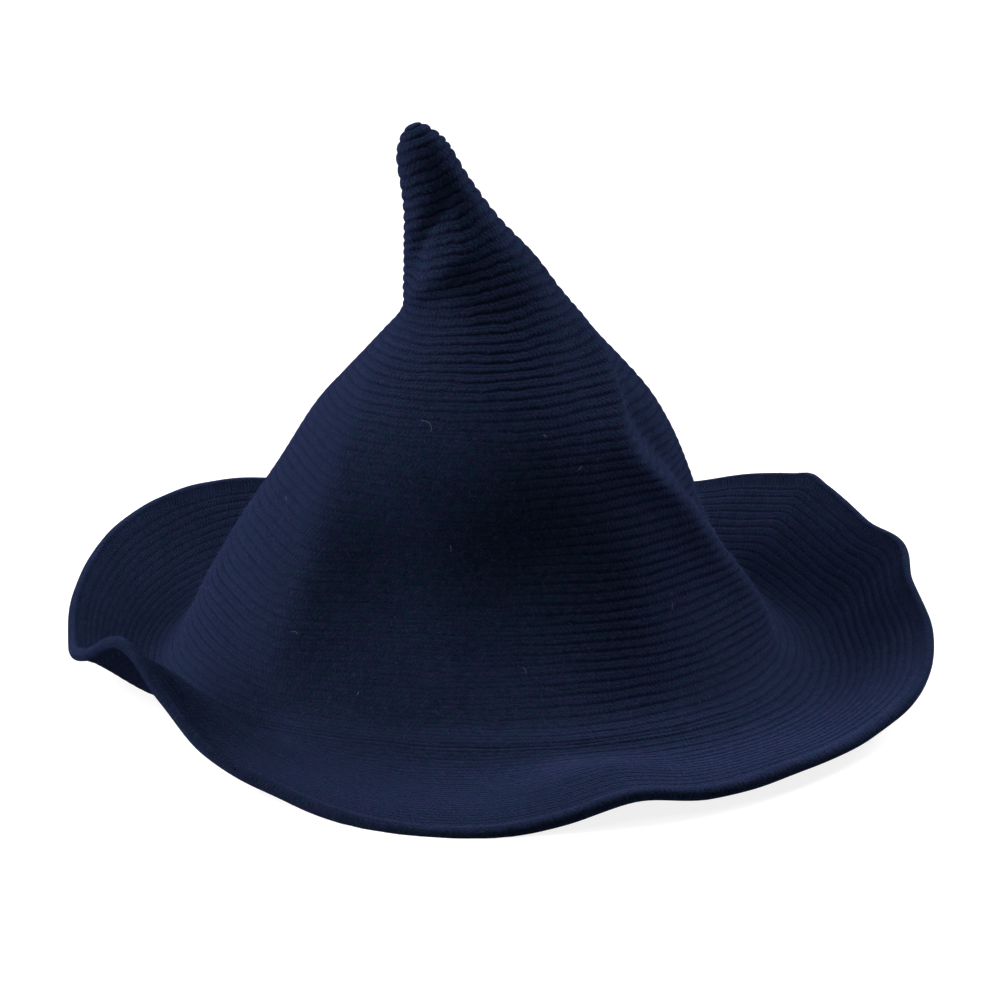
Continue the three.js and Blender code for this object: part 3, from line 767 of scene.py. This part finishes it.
def drawn_metal(name, colour, scale):
    """Bare metal with fine drawing marks and a little tarnish."""
    material, tree, shader = new_material(name, 0.35, specular=0.5)
    shader.inputs["Metallic"].default_value = 1.0
    nap = use_group(tree, wool_nap, Place=object_place(tree), Fibre_Scale=scale, Cloud_Scale=scale * 0.1)
    tarnish = tuple(channel * 0.55 for channel in colour[:3]) + (1,)
    tree.links.new(colour_between(tree, nap["Clouds"], tarnish, colour), shader.inputs["Base Color"])
    tree.links.new(calc(tree, "MULTIPLY_ADD", nap["Height"], 0.3, 0.2), shader.inputs["Roughness"])
    add_bump(tree, shader, nap["Height"], 0.00005)
    return material


wire_loop.data.materials.append(drawn_metal("spring_steel", (0.48, 0.49, 0.50, 1), 3000))
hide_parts("brim_wire", "brim_wire_front", "brim_wire_fold_left", "brim_wire_fold_right")
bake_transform(wire_loop, "hat", "brim_front", start=fold_start, end=fold_end)

sleeve = bpy.data.objects["wire_sleeve"]
sleeve.material_slots[0].material = drawn_metal("crimped_brass", (0.62, 0.44, 0.16, 1), 2400)

# ---------------------------------------------------------------------------------------------------------
# Stitches: navy sewing thread in three rows. Slanted stitches hold the turned hem to the brim's underside,
# and small running stitches hold the sweatband and the label.
thread_radius = 0.00028
thread_clearance = 0.0003


def navy_thread():
    """Twisted polyester thread with a faint shine along the twist."""
    material, tree, shader = new_material("navy_thread", 0.7, 0.05, (0.3, 0.36, 0.8, 1), 0.4, 0.12)
    nap = use_group(tree, wool_nap, Place=object_place(tree), Fibre_Scale=2600.0)
    colour = colour_between(tree, nap["Height"], (0.004, 0.006, 0.014, 1), (0.018, 0.024, 0.055, 1))
    tree.links.new(colour, shader.inputs["Base Color"])
    add_bump(tree, shader, nap["Height"], 0.0002)
    return material


def node_tree_socket(tree, name, in_out, kind, default=None):
    socket = tree.interface.new_socket(name=name, in_out=in_out, socket_type=kind)
    if default is not None:
        socket.default_value = default
    return socket


def stitch_row_tree():
    """Puts one bowed stitch after another along a line, square to the cloth."""
    tree = bpy.data.node_groups.new("stitch_row", "GeometryNodeTree")
    node_tree_socket(tree, "Geometry", "INPUT", "NodeSocketGeometry")
    node_tree_socket(tree, "Spacing", "INPUT", "NodeSocketFloat", 0.007)
    node_tree_socket(tree, "Stitch Length", "INPUT", "NodeSocketFloat", 0.0045)
    node_tree_socket(tree, "Thread Radius", "INPUT", "NodeSocketFloat", 0.0003)
    node_tree_socket(tree, "Slant", "INPUT", "NodeSocketFloat", 0.0)
    node_tree_socket(tree, "Seed", "INPUT", "NodeSocketInt", 1)
    node_tree_socket(tree, "Material", "INPUT", "NodeSocketMaterial")
    node_tree_socket(tree, "Geometry", "OUTPUT", "NodeSocketGeometry")
    add, link = tree.nodes.new, tree.links.new
    given = add("NodeGroupInput").outputs
    line = add("GeometryNodeMeshToCurve")
    link(given["Geometry"], line.inputs["Mesh"])
    steps = add("GeometryNodeCurveToPoints")
    steps.mode = "LENGTH"
    link(line.outputs["Curve"], steps.inputs["Curve"])
    link(given["Spacing"], steps.inputs["Length"])

    bow = add("GeometryNodeCurveQuadraticBezier")
    bow.inputs["Resolution"].default_value = 6
    half_length = calc(tree, "MULTIPLY", given["Stitch Length"], 0.5)
    for label, side, height in (("Start", -1.0, -1.1), ("Middle", 0.0, 2.1), ("End", 1.0, -1.1)):
        corner = add("ShaderNodeCombineXYZ")
        link(calc(tree, "MULTIPLY", half_length, side), corner.inputs["X"])
        link(calc(tree, "MULTIPLY", given["Thread Radius"], height), corner.inputs["Z"])
        link(corner.outputs[0], bow.inputs[label])
    ring = add("GeometryNodeCurvePrimitiveCircle")
    ring.inputs["Resolution"].default_value = 6
    link(given["Thread Radius"], ring.inputs["Radius"])
    stitch = add("GeometryNodeCurveToMesh")
    stitch.inputs["Fill Caps"].default_value = True
    link(bow.outputs["Curve"], stitch.inputs["Curve"])
    link(ring.outputs["Curve"], stitch.inputs["Profile Curve"])

    outward = add("GeometryNodeInputNamedAttribute")
    outward.data_type = "FLOAT_VECTOR"
    outward.inputs["Name"].default_value = "outward"
    facing = add("FunctionNodeAxesToRotation")
    facing.primary_axis = "Z"
    facing.secondary_axis = "X"
    link(outward.outputs["Attribute"], facing.inputs["Primary Axis"])
    link(steps.outputs["Tangent"], facing.inputs["Secondary Axis"])
    dice = add("FunctionNodeRandomValue")
    dice.data_type = "FLOAT"
    dice.inputs[2].default_value = -0.12
    dice.inputs[3].default_value = 0.12
    link(given["Seed"], dice.inputs["Seed"])
    turn = add("ShaderNodeCombineXYZ")
    link(calc(tree, "ADD", given["Slant"], dice.outputs[1]), turn.inputs["Z"])
    place = add("GeometryNodeInstanceOnPoints")
    link(steps.outputs["Points"], place.inputs["Points"])
    link(stitch.outputs["Mesh"], place.inputs["Instance"])
    link(facing.outputs["Rotation"], place.inputs["Rotation"])
    slant = add("GeometryNodeRotateInstances")
    link(place.outputs["Instances"], slant.inputs["Instances"])
    link(turn.outputs[0], slant.inputs["Rotation"])
    solid = add("GeometryNodeRealizeInstances")
    link(slant.outputs["Instances"], solid.inputs["Geometry"])
    paint = add("GeometryNodeSetMaterial")
    link(solid.outputs["Geometry"], paint.inputs["Geometry"])
    link(given["Material"], paint.inputs["Material"])
    link(paint.outputs["Geometry"], add("NodeGroupOutput").inputs["Geometry"])
    return tree


def grow(piece, tree, lowest=0.0001, **values):
    """Runs a node tree on the piece with these inputs and keeps the mesh that comes out, above the table."""
    modifier = piece.modifiers.new(tree.name, "NODES")
    modifier.node_group = tree
    for item in tree.interface.items_tree:
        label = item.name.replace(" ", "_")
        if item.in_out == "INPUT" and label in values:
            modifier[item.identifier] = values[label]
    depsgraph = bpy.context.evaluated_depsgraph_get()
    mesh = bpy.data.meshes.new_from_object(piece.evaluated_get(depsgraph), preserve_all_data_layers=True,
                                           depsgraph=depsgraph)
    piece.modifiers.clear()
    piece.data = mesh
    mesh.shade_smooth()
    places = np.empty(len(mesh.vertices) * 3)
    mesh.vertices.foreach_get("co", places)
    places[2::3] = np.maximum(places[2::3], lowest)
    mesh.vertices.foreach_set("co", places)
    for name in [attribute.name for attribute in mesh.attributes if attribute.name == "outward"]:
        mesh.attributes.remove(mesh.attributes[name])


def make_line(name, points, outward, closed):
    """A line of points with the cloth's outward direction at each, for a row of stitches."""
    count = len(points)
    edges = [(step, (step + 1) % count) for step in range(count if closed else count - 1)]
    mesh = bpy.data.meshes.new(name)
    mesh.from_pydata(points.tolist(), edges, [])
    mesh.attributes.new("outward", "FLOAT_VECTOR", "POINT").data.foreach_set("vector", outward.ravel())
    piece = bpy.data.objects.new(name, mesh)
    scene.collection.objects.link(piece)
    return piece


stitch_row = stitch_row_tree()
thread_cloth = navy_thread()


def slide(ring, distance):
    """The ring that lies this far down the slope from another one."""
    lengths = np.concatenate([[0], np.cumsum(slope_steps)])
    return float(np.interp(np.interp(ring, slope_rings, lengths) + distance, lengths, slope_rings))


hem_stitch_inset = 0.0022
hem_stitch_ring = slide(hem_line - 0.02, -hem_stitch_inset)
hem_stitch_depth = -(knit_thickness + thread_clearance)
under_normal = knit_normal(brim_angles, hem_stitch_ring)
under_line = knit_surface(brim_angles, hem_stitch_ring) + under_normal * hem_stitch_depth + footprint_shift
under_line[:, 2] = np.maximum(under_line[:, 2], 2.5 * thread_radius)
hem_stitches = make_line("hem_stitches", under_line, -under_normal, True)
grow(hem_stitches, stitch_row, Spacing=0.0065, Stitch_Length=0.0048, Thread_Radius=thread_radius, Slant=0.45,
     Seed=3, Material=thread_cloth)
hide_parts("hem_thread", "hem_thread_front", "hem_thread_fold_left", "hem_thread_fold_right")
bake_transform(hem_stitches, "hat", "brim_front", start=fold_start, end=fold_end)

# ---------------------------------------------------------------------------------------------------------
# Sweatband: a dark ribbed ribbon inside the crown at head height, with soft folded edges, sewn on near its
# upper edge.
band_top, band_bottom = 10.2, 11.0
band_depth = knit_thickness + 0.0006
band_thickness = 0.0010
band_columns = 288
band_rib = 0.0011
band_angles = np.arange(band_columns) * 360 / band_columns
band_rows = 15
edge_steps = 5
band_line = np.linspace(0, 1, band_rows)
edge_turn = np.linspace(0, math.pi, edge_steps + 2)[1:-1]
band_width = 0.0285
edge_reach = 0.5 * band_thickness / band_width
section_along = np.concatenate([band_line, 1 + edge_reach * np.sin(edge_turn),
                                band_line[::-1], -edge_reach * np.sin(edge_turn)])
section_deep = np.concatenate([np.zeros(band_rows), 0.5 - 0.5 * np.cos(edge_turn),
                               np.ones(band_rows), 0.5 + 0.5 * np.cos(edge_turn)])
section_rings = band_top + (band_bottom - band_top) * (edge_reach + section_along * (1 - 2 * edge_reach))
band_wave = 0.00022 * drift(band_angles[None, :], section_along[:, None] * 2.0, 61, 9, 30)
band_lift = -(band_depth + section_deep[:, None] * band_thickness) - np.abs(band_wave) * section_deep[:, None]
band_normal = knit_normal(band_angles[None, :], section_rings[:, None])
band_points = (knit_surface(band_angles[None, :], section_rings[:, None])
               + band_normal * band_lift[..., None] + footprint_shift)
section_count = len(section_rings)
band_grid, band_corner_rows, band_corner_columns = grid_faces(section_count + 1, band_columns, 0)
band_round = 2 * math.pi * 0.093
band_pattern = np.stack([band_corner_columns / band_columns * round(band_round / band_rib),
                         np.append(section_along, section_along[0])[band_corner_rows]], -1).reshape(-1, 2)
sweatband = make_piece("sweatband_ribbon", band_points.reshape(-1, 3),
                       (band_grid % (section_count * band_columns)).tolist(), band_pattern)


def grosgrain_ribbon():
    """Ribbed ribbon: rounded cords side by side across its width, dull, with a soft shine on each; painted
    shade darkens the colour between the cords.
    """
    material, tree, shader = new_material("grosgrain_ribbon", 0.55, 0.15, (0.5, 0.55, 0.8, 1), 0.4, 0.35)
    split = tree.nodes.new("ShaderNodeSeparateXYZ")
    tree.links.new(own_map(tree, "Stitches"), split.inputs[0])
    rib = calc(tree, "ABSOLUTE", calc(tree, "SINE", calc(tree, "MULTIPLY", split.outputs["X"], math.pi)))
    rib = calc(tree, "POWER", rib, 0.6)
    nap = use_group(tree, wool_nap, Place=object_place(tree), Fibre_Scale=2200.0)
    # Painted shade: the colour is lighter on each cord's top and darker between the cords.
    shade = calc(tree, "MULTIPLY_ADD", nap["Clouds"], 0.4, calc(tree, "MULTIPLY", rib, 0.6))
    colour = colour_between(tree, shade, (0.0020, 0.0030, 0.0065, 1), (0.010, 0.014, 0.030, 1))
    tree.links.new(colour, shader.inputs["Base Color"])
    add_bump(tree, shader, calc(tree, "MULTIPLY_ADD", nap["Height"], 0.15, rib), 0.00035)
    return material


sweatband.data.materials.append(grosgrain_ribbon())
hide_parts("sweatband")
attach(sweatband, "hat")

band_face = band_depth + band_thickness
band_seam = slide(band_top, 0.002)
seam_inward = -knit_normal(band_angles, band_seam)
seam_depth = band_face + thread_clearance
seam_line = knit_surface(band_angles, band_seam) + seam_inward * seam_depth + footprint_shift
band_stitches = make_line("sweatband_stitches", seam_line, seam_inward, True)
grow(band_stitches, stitch_row, Spacing=0.0042, Stitch_Length=0.0030, Thread_Radius=thread_radius, Slant=0.0,
     Seed=5, Material=thread_cloth)
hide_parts("sweatband_thread")
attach(band_stitches, "hat")

# ---------------------------------------------------------------------------------------------------------
# Care label: a small blank woven tab, sewn to the sweatband at the back by its upper edge.
label_from, label_to = 80, 100
label_rings = (slide(band_seam, 0.002), slide(band_seam, 0.020))
label_depth = band_face + 0.0003
label_thickness = 0.0005
label_columns, label_rows = 25, 17
label_angles = np.linspace(label_from, label_to, label_columns)
label_lines = np.linspace(label_rings[0], label_rings[1], label_rows)
label_share = np.linspace(0, 1, label_rows)
label_width_share = np.linspace(0, 1, label_columns)
label_edge = np.minimum(1, 6 * np.minimum(label_width_share, label_width_share[::-1]) + 0.35)
label_wave = 0.6 + 0.4 * np.cos(np.linspace(-2.4, 2.4, label_columns))
label_curl = 0.0009 * (label_share[:, None] ** 2) * label_wave
label_surface = knit_surface(label_angles[None, :], label_lines[:, None])
label_normal = knit_normal(label_angles[None, :], label_lines[:, None])
label_back = label_surface - label_normal * (label_depth + label_curl)[..., None] + footprint_shift
label_full = label_thickness * label_edge[None, :] * np.ones((label_rows, 1))
label_front = label_back - label_normal * label_full[..., None]
label_points = np.concatenate([label_back.reshape(-1, 3), label_front.reshape(-1, 3)])
label_faces, label_pattern = [], []


def label_corner(side, row, column):
    return (side * label_rows + row) * label_columns + column


def add_label_face(corners):
    label_faces.append([label_corner(*corner) for corner in corners])
    label_pattern.extend((column * 4.0, row * 4.0) for _, row, column in corners)


for row in range(label_rows - 1):
    for column in range(label_columns - 1):
        square = [(row, column), (row + 1, column), (row + 1, column + 1), (row, column + 1)]
        add_label_face([(0, *corner) for corner in square])
        add_label_face([(1, *corner) for corner in reversed(square)])
    for column, order in ((0, 1), (label_columns - 1, -1)):
        side_edge = [(0, row, column), (1, row, column), (1, row + 1, column), (0, row + 1, column)]
        add_label_face(side_edge[::order])
for column in range(label_columns - 1):
    for row, order in ((0, -1), (label_rows - 1, 1)):
        end_edge = [(0, row, column), (1, row, column), (1, row, column + 1), (0, row, column + 1)]
        add_label_face(end_edge[::order])
care_label = make_piece("care_label_tab", label_points, label_faces, label_pattern)


def woven_label():
    """Blank woven satin: a fine over-and-under weave, smooth and slightly shiny; painted shade darkens the
    colour where the weave dips.
    """
    material, tree, shader = new_material("woven_label", 0.45, 0.1, (0.7, 0.75, 0.9, 1), 0.4, 0.4)
    split = tree.nodes.new("ShaderNodeSeparateXYZ")
    tree.links.new(own_map(tree, "Stitches"), split.inputs[0])
    across = calc(tree, "SINE", calc(tree, "MULTIPLY", split.outputs["X"], math.pi))
    down = calc(tree, "SINE", calc(tree, "MULTIPLY", split.outputs["Y"], math.pi))
    weave = calc(tree, "MULTIPLY", across, down)
    nap = use_group(tree, wool_nap, Place=object_place(tree), Fibre_Scale=2600.0)
    # Painted shade: the colour is lighter where the weave stands up and darker where it dips.
    shade = calc(tree, "MULTIPLY_ADD", nap["Height"], 0.4, calc(tree, "MULTIPLY_ADD", weave, 0.3, 0.3))
    colour = colour_between(tree, shade, (0.012, 0.016, 0.032, 1), (0.045, 0.055, 0.09, 1))
    tree.links.new(colour, shader.inputs["Base Color"])
    add_bump(tree, shader, weave, 0.00012)
    return material


care_label.data.materials.append(woven_label())
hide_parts("care_label")
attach(care_label, "hat")

tack_angles = np.linspace(label_from + 1.5, label_to - 1.5, 25)
tack_ring = slide(band_seam, 0.0033)
tack_depth = label_depth + label_thickness + thread_clearance
tack_inward = -knit_normal(tack_angles, tack_ring)
tack_line = knit_surface(tack_angles, tack_ring) + tack_inward * tack_depth + footprint_shift
label_stitches = make_line("care_label_stitches", tack_line, tack_inward, False)
grow(label_stitches, stitch_row, Spacing=0.0031, Stitch_Length=0.0023, Thread_Radius=thread_radius * 0.9,
     Slant=0.0, Seed=8, Material=thread_cloth)
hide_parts("care_label_thread")
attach(label_stitches, "hat")

# ---------------------------------------------------------------------------------------------------------
# Tip knot: the wool's end, wound on itself inside the tip where the first round of stitches is drawn shut.
knot_low, knot_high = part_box("tip_knot")
knot_middle = np.array((knot_low + knot_high) / 2)
knot_radius = 0.0023
yarn_radius = 0.00075
knot_steps, yarn_sides = 300, 8
knot_turn = np.arange(knot_steps) * 2 * math.pi / knot_steps
knot_wobble = 1 + 0.10 * np.sin(3 * knot_turn + 0.7)
knot_path = np.stack([
    np.cos(5 * knot_turn) * np.cos(0.9 * np.sin(7 * knot_turn)),
    np.sin(5 * knot_turn) * np.cos(0.9 * np.sin(7 * knot_turn)),
    np.sin(0.9 * np.sin(7 * knot_turn)) * 1.1,
], -1) * (knot_radius * knot_wobble)[:, None]
knot_along = unit(np.roll(knot_path, -1, axis=0) - np.roll(knot_path, 1, axis=0))
knot_side = unit(np.cross(knot_along, unit(knot_path)))
knot_top = np.cross(knot_side, knot_along)
yarn_turn = np.arange(yarn_sides) * 2 * math.pi / yarn_sides
yarn_section = np.cos(yarn_turn)[:, None, None] * knot_side + np.sin(yarn_turn)[:, None, None] * knot_top
knot_points = knot_path[None] + knot_middle + yarn_radius * yarn_section
knot_grid, knot_rows, knot_columns = grid_faces(yarn_sides + 1, knot_steps, 0)
knot_pattern = np.stack([knot_columns * 0.35 + knot_rows * 0.25, knot_rows * 0.25], -1).reshape(-1, 2)
knot_faces = knot_grid % (yarn_sides * knot_steps)
tip_knot = make_piece("tip_knot_yarn", knot_points.reshape(-1, 3), knot_faces.tolist(), knot_pattern)
tip_knot.data.materials.append(navy_knit)
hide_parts("tip_knot")
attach(tip_knot, "peak")

# ---------------------------------------------------------------------------------------------------------
# Fuzz: short loose fibres that stand off the felted wool, all over the crown and the brim, and a little pale
# lint that has settled on the front.


def fuzz_tree():
    """Scatters short bent fibres over a surface, mostly lying along it."""
    tree = bpy.data.node_groups.new("fuzz", "GeometryNodeTree")
    node_tree_socket(tree, "Geometry", "INPUT", "NodeSocketGeometry")
    node_tree_socket(tree, "Density", "INPUT", "NodeSocketFloat", 60000.0)
    node_tree_socket(tree, "Fibre Length", "INPUT", "NodeSocketFloat", 0.0025)
    node_tree_socket(tree, "Fibre Radius", "INPUT", "NodeSocketFloat", 0.00003)
    node_tree_socket(tree, "Lean", "INPUT", "NodeSocketFloat", 1.2)
    node_tree_socket(tree, "Seed", "INPUT", "NodeSocketInt", 1)
    node_tree_socket(tree, "Material", "INPUT", "NodeSocketMaterial")
    node_tree_socket(tree, "Geometry", "OUTPUT", "NodeSocketGeometry")
    add, link = tree.nodes.new, tree.links.new
    given = add("NodeGroupInput").outputs
    scatter = add("GeometryNodeDistributePointsOnFaces")
    link(given["Geometry"], scatter.inputs["Mesh"])
    link(given["Density"], scatter.inputs["Density"])
    link(given["Seed"], scatter.inputs["Seed"])
    bow = add("GeometryNodeCurveQuadraticBezier")
    bow.inputs["Resolution"].default_value = 3
    for label, side, height in (("Start", 0.0, -0.05), ("Middle", 0.05, 0.6), ("End", 0.55, 0.8)):
        corner = add("ShaderNodeCombineXYZ")
        link(calc(tree, "MULTIPLY", given["Fibre Length"], side), corner.inputs["X"])
        link(calc(tree, "MULTIPLY", given["Fibre Length"], height), corner.inputs["Z"])
        link(corner.outputs[0], bow.inputs[label])
    ring = add("GeometryNodeCurvePrimitiveCircle")
    ring.inputs["Resolution"].default_value = 3
    link(given["Fibre Radius"], ring.inputs["Radius"])
    fibre = add("GeometryNodeCurveToMesh")
    fibre.inputs["Fill Caps"].default_value = True
    link(bow.outputs["Curve"], fibre.inputs["Curve"])
    link(ring.outputs["Curve"], fibre.inputs["Profile Curve"])
    place = add("GeometryNodeInstanceOnPoints")
    link(scatter.outputs["Points"], place.inputs["Points"])
    link(scatter.outputs["Rotation"], place.inputs["Rotation"])
    link(fibre.outputs["Mesh"], place.inputs["Instance"])
    dice = []
    for number, (low, high) in enumerate(((-math.pi, math.pi), (0.0, 1.0), (0.5, 1.5))):
        roll = add("FunctionNodeRandomValue")
        roll.data_type = "FLOAT"
        roll.inputs[2].default_value = low
        roll.inputs[3].default_value = high
        link(calc(tree, "ADD", given["Seed"], float(number + 1)), roll.inputs["Seed"])
        dice.append(roll.outputs[1])
    lean = add("ShaderNodeCombineXYZ")
    link(calc(tree, "MULTIPLY", dice[1], given["Lean"]), lean.inputs["Y"])
    link(dice[0], lean.inputs["Z"])
    turned = add("GeometryNodeRotateInstances")
    link(place.outputs["Instances"], turned.inputs["Instances"])
    link(lean.outputs[0], turned.inputs["Rotation"])
    sized = add("GeometryNodeScaleInstances")
    link(turned.outputs["Instances"], sized.inputs["Instances"])
    link(dice[2], sized.inputs["Scale"])
    solid = add("GeometryNodeRealizeInstances")
    link(sized.outputs["Instances"], solid.inputs["Geometry"])
    paint = add("GeometryNodeSetMaterial")
    link(solid.outputs["Geometry"], paint.inputs["Geometry"])
    link(given["Material"], paint.inputs["Material"])
    link(paint.outputs["Geometry"], add("NodeGroupOutput").inputs["Geometry"])
    return tree


def wool_fibre(name, dark, light):
    material, tree, shader = new_material(name, 0.8, 0.3, (0.3, 0.36, 0.9, 1), 0.5, 0.1)
    nap = use_group(tree, wool_nap, Place=object_place(tree), Fibre_Scale=400.0)
    colour = colour_between(tree, nap["Height"], dark, light)
    tree.links.new(colour, shader.inputs["Base Color"])
    return material


def surface_patch(name, angles, ridges, seam=True):
    """A plain patch of the cloth's outer surface, for fibres to grow from."""
    points = knitted(angles[None, :], ridges[:, None])
    columns = len(angles)
    faces, _, corner_columns = grid_faces(len(ridges), columns, 0)
    faces = faces if seam else faces[(corner_columns < columns).all(-1)]
    return make_piece(name, points.reshape(-1, 3), faces.tolist())


fuzz = fuzz_tree()
fuzz_settings = {"Density": 62000.0, "Fibre_Length": 0.0022, "Fibre_Radius": 0.00004, "Lean": 1.25}
navy_fibre = wool_fibre("navy_fibre", (0.006, 0.010, 0.030, 1), (0.030, 0.038, 0.110, 1))
crown_fuzz = surface_patch("crown_fuzz", outer_angles, np.arange(2, seam_ridge * 2) / 2)
grow(crown_fuzz, fuzz, **fuzz_settings, Seed=21, Material=navy_fibre)
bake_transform(crown_fuzz, "hat", "peak", start=(0, 0, bend_low), end=(0, 0, bend_high))

brim_top = brim_points[:len(top_ridges) + hem_roll_steps // 2:3]
brim_top_faces, _, _ = grid_faces(len(brim_top), brim_columns, 0)
brim_fuzz = make_piece("brim_fuzz", brim_top.reshape(-1, 3), brim_top_faces.tolist())
grow(brim_fuzz, fuzz, **fuzz_settings, Seed=34, Material=navy_fibre)
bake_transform(brim_fuzz, "hat", "brim_front", start=fold_start, end=fold_end)

lint_sides, lint_steps = 5, 12
lint_clearance = 0.0008
lint_end_rise = 0.0012
lint_fibres = [  # angle, ring, length, radius, heading in degrees, bend in degrees
    (250, 9.3, 0.0090, 0.00009, 35, 110), (262, 11.2, 0.0030, 0.00009, 80, 40),
    (232, 12.4, 0.0040, 0.00008, 10, 90), (300, 10.2, 0.0026, 0.00010, 140, 30),
    (281, 12.9, 0.0034, 0.00008, 60, 120), (205, 11.0, 0.0028, 0.00009, 20, 60),
    (248, 13.4, 0.0018, 0.00014, 100, 10), (291, 9.6, 0.0016, 0.00014, 30, 20),
    (318, 12.2, 0.0036, 0.00008, 120, 80),
]


def lint_fibre(angle, ring, length, radius, heading, bend):
    """One bent fibre that lies on the cloth: its points, ring by ring, with a point to close each end."""
    middle = knit_surface(np.array(float(angle)), np.array(float(ring))) + footprint_shift
    outward = knit_normal(np.array(float(angle)), np.array(float(ring)))
    round_way = unit(np.cross([0, 0, 1.0], outward))
    down_way = np.cross(round_way, outward)
    share = np.linspace(-0.5, 0.5, lint_steps)
    facing = np.radians(heading + bend * share)
    step = length / (lint_steps - 1)
    along = np.cos(facing)[:, None] * round_way + np.sin(facing)[:, None] * down_way
    path = np.cumsum(along * step, axis=0)
    path = path - path.mean(0) + middle + outward * (lint_clearance + lint_end_rise * share[:, None] ** 2)
    aside = np.cross(along, outward)
    turn = np.arange(lint_sides) * 2 * math.pi / lint_sides
    section = np.cos(turn)[None, :, None] * aside[:, None] + np.sin(turn)[None, :, None] * outward
    tube = path[:, None] + radius * section
    return np.concatenate([tube.reshape(-1, 3), [path[0] - along[0] * radius, path[-1] + along[-1] * radius]])


lint_points, lint_faces = [], []
for fibre in lint_fibres:
    first = sum(len(points) for points in lint_points)
    lint_points.append(lint_fibre(*fibre))
    near_end = first + lint_steps * lint_sides
    far_end = near_end + 1
    lint_faces += grid_faces(lint_steps, lint_sides, first)[0].tolist()
    for side in range(lint_sides):
        beside = (side + 1) % lint_sides
        lint_faces.append((near_end, first + side, first + beside))
        lint_faces.append((far_end, near_end - lint_sides + beside, near_end - lint_sides + side))
crown_lint = make_piece("crown_lint", np.concatenate(lint_points), lint_faces)
crown_lint.data.materials.append(wool_fibre("pale_fibre", (0.045, 0.060, 0.10, 1), (0.14, 0.165, 0.22, 1)))
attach(crown_lint, "hat")
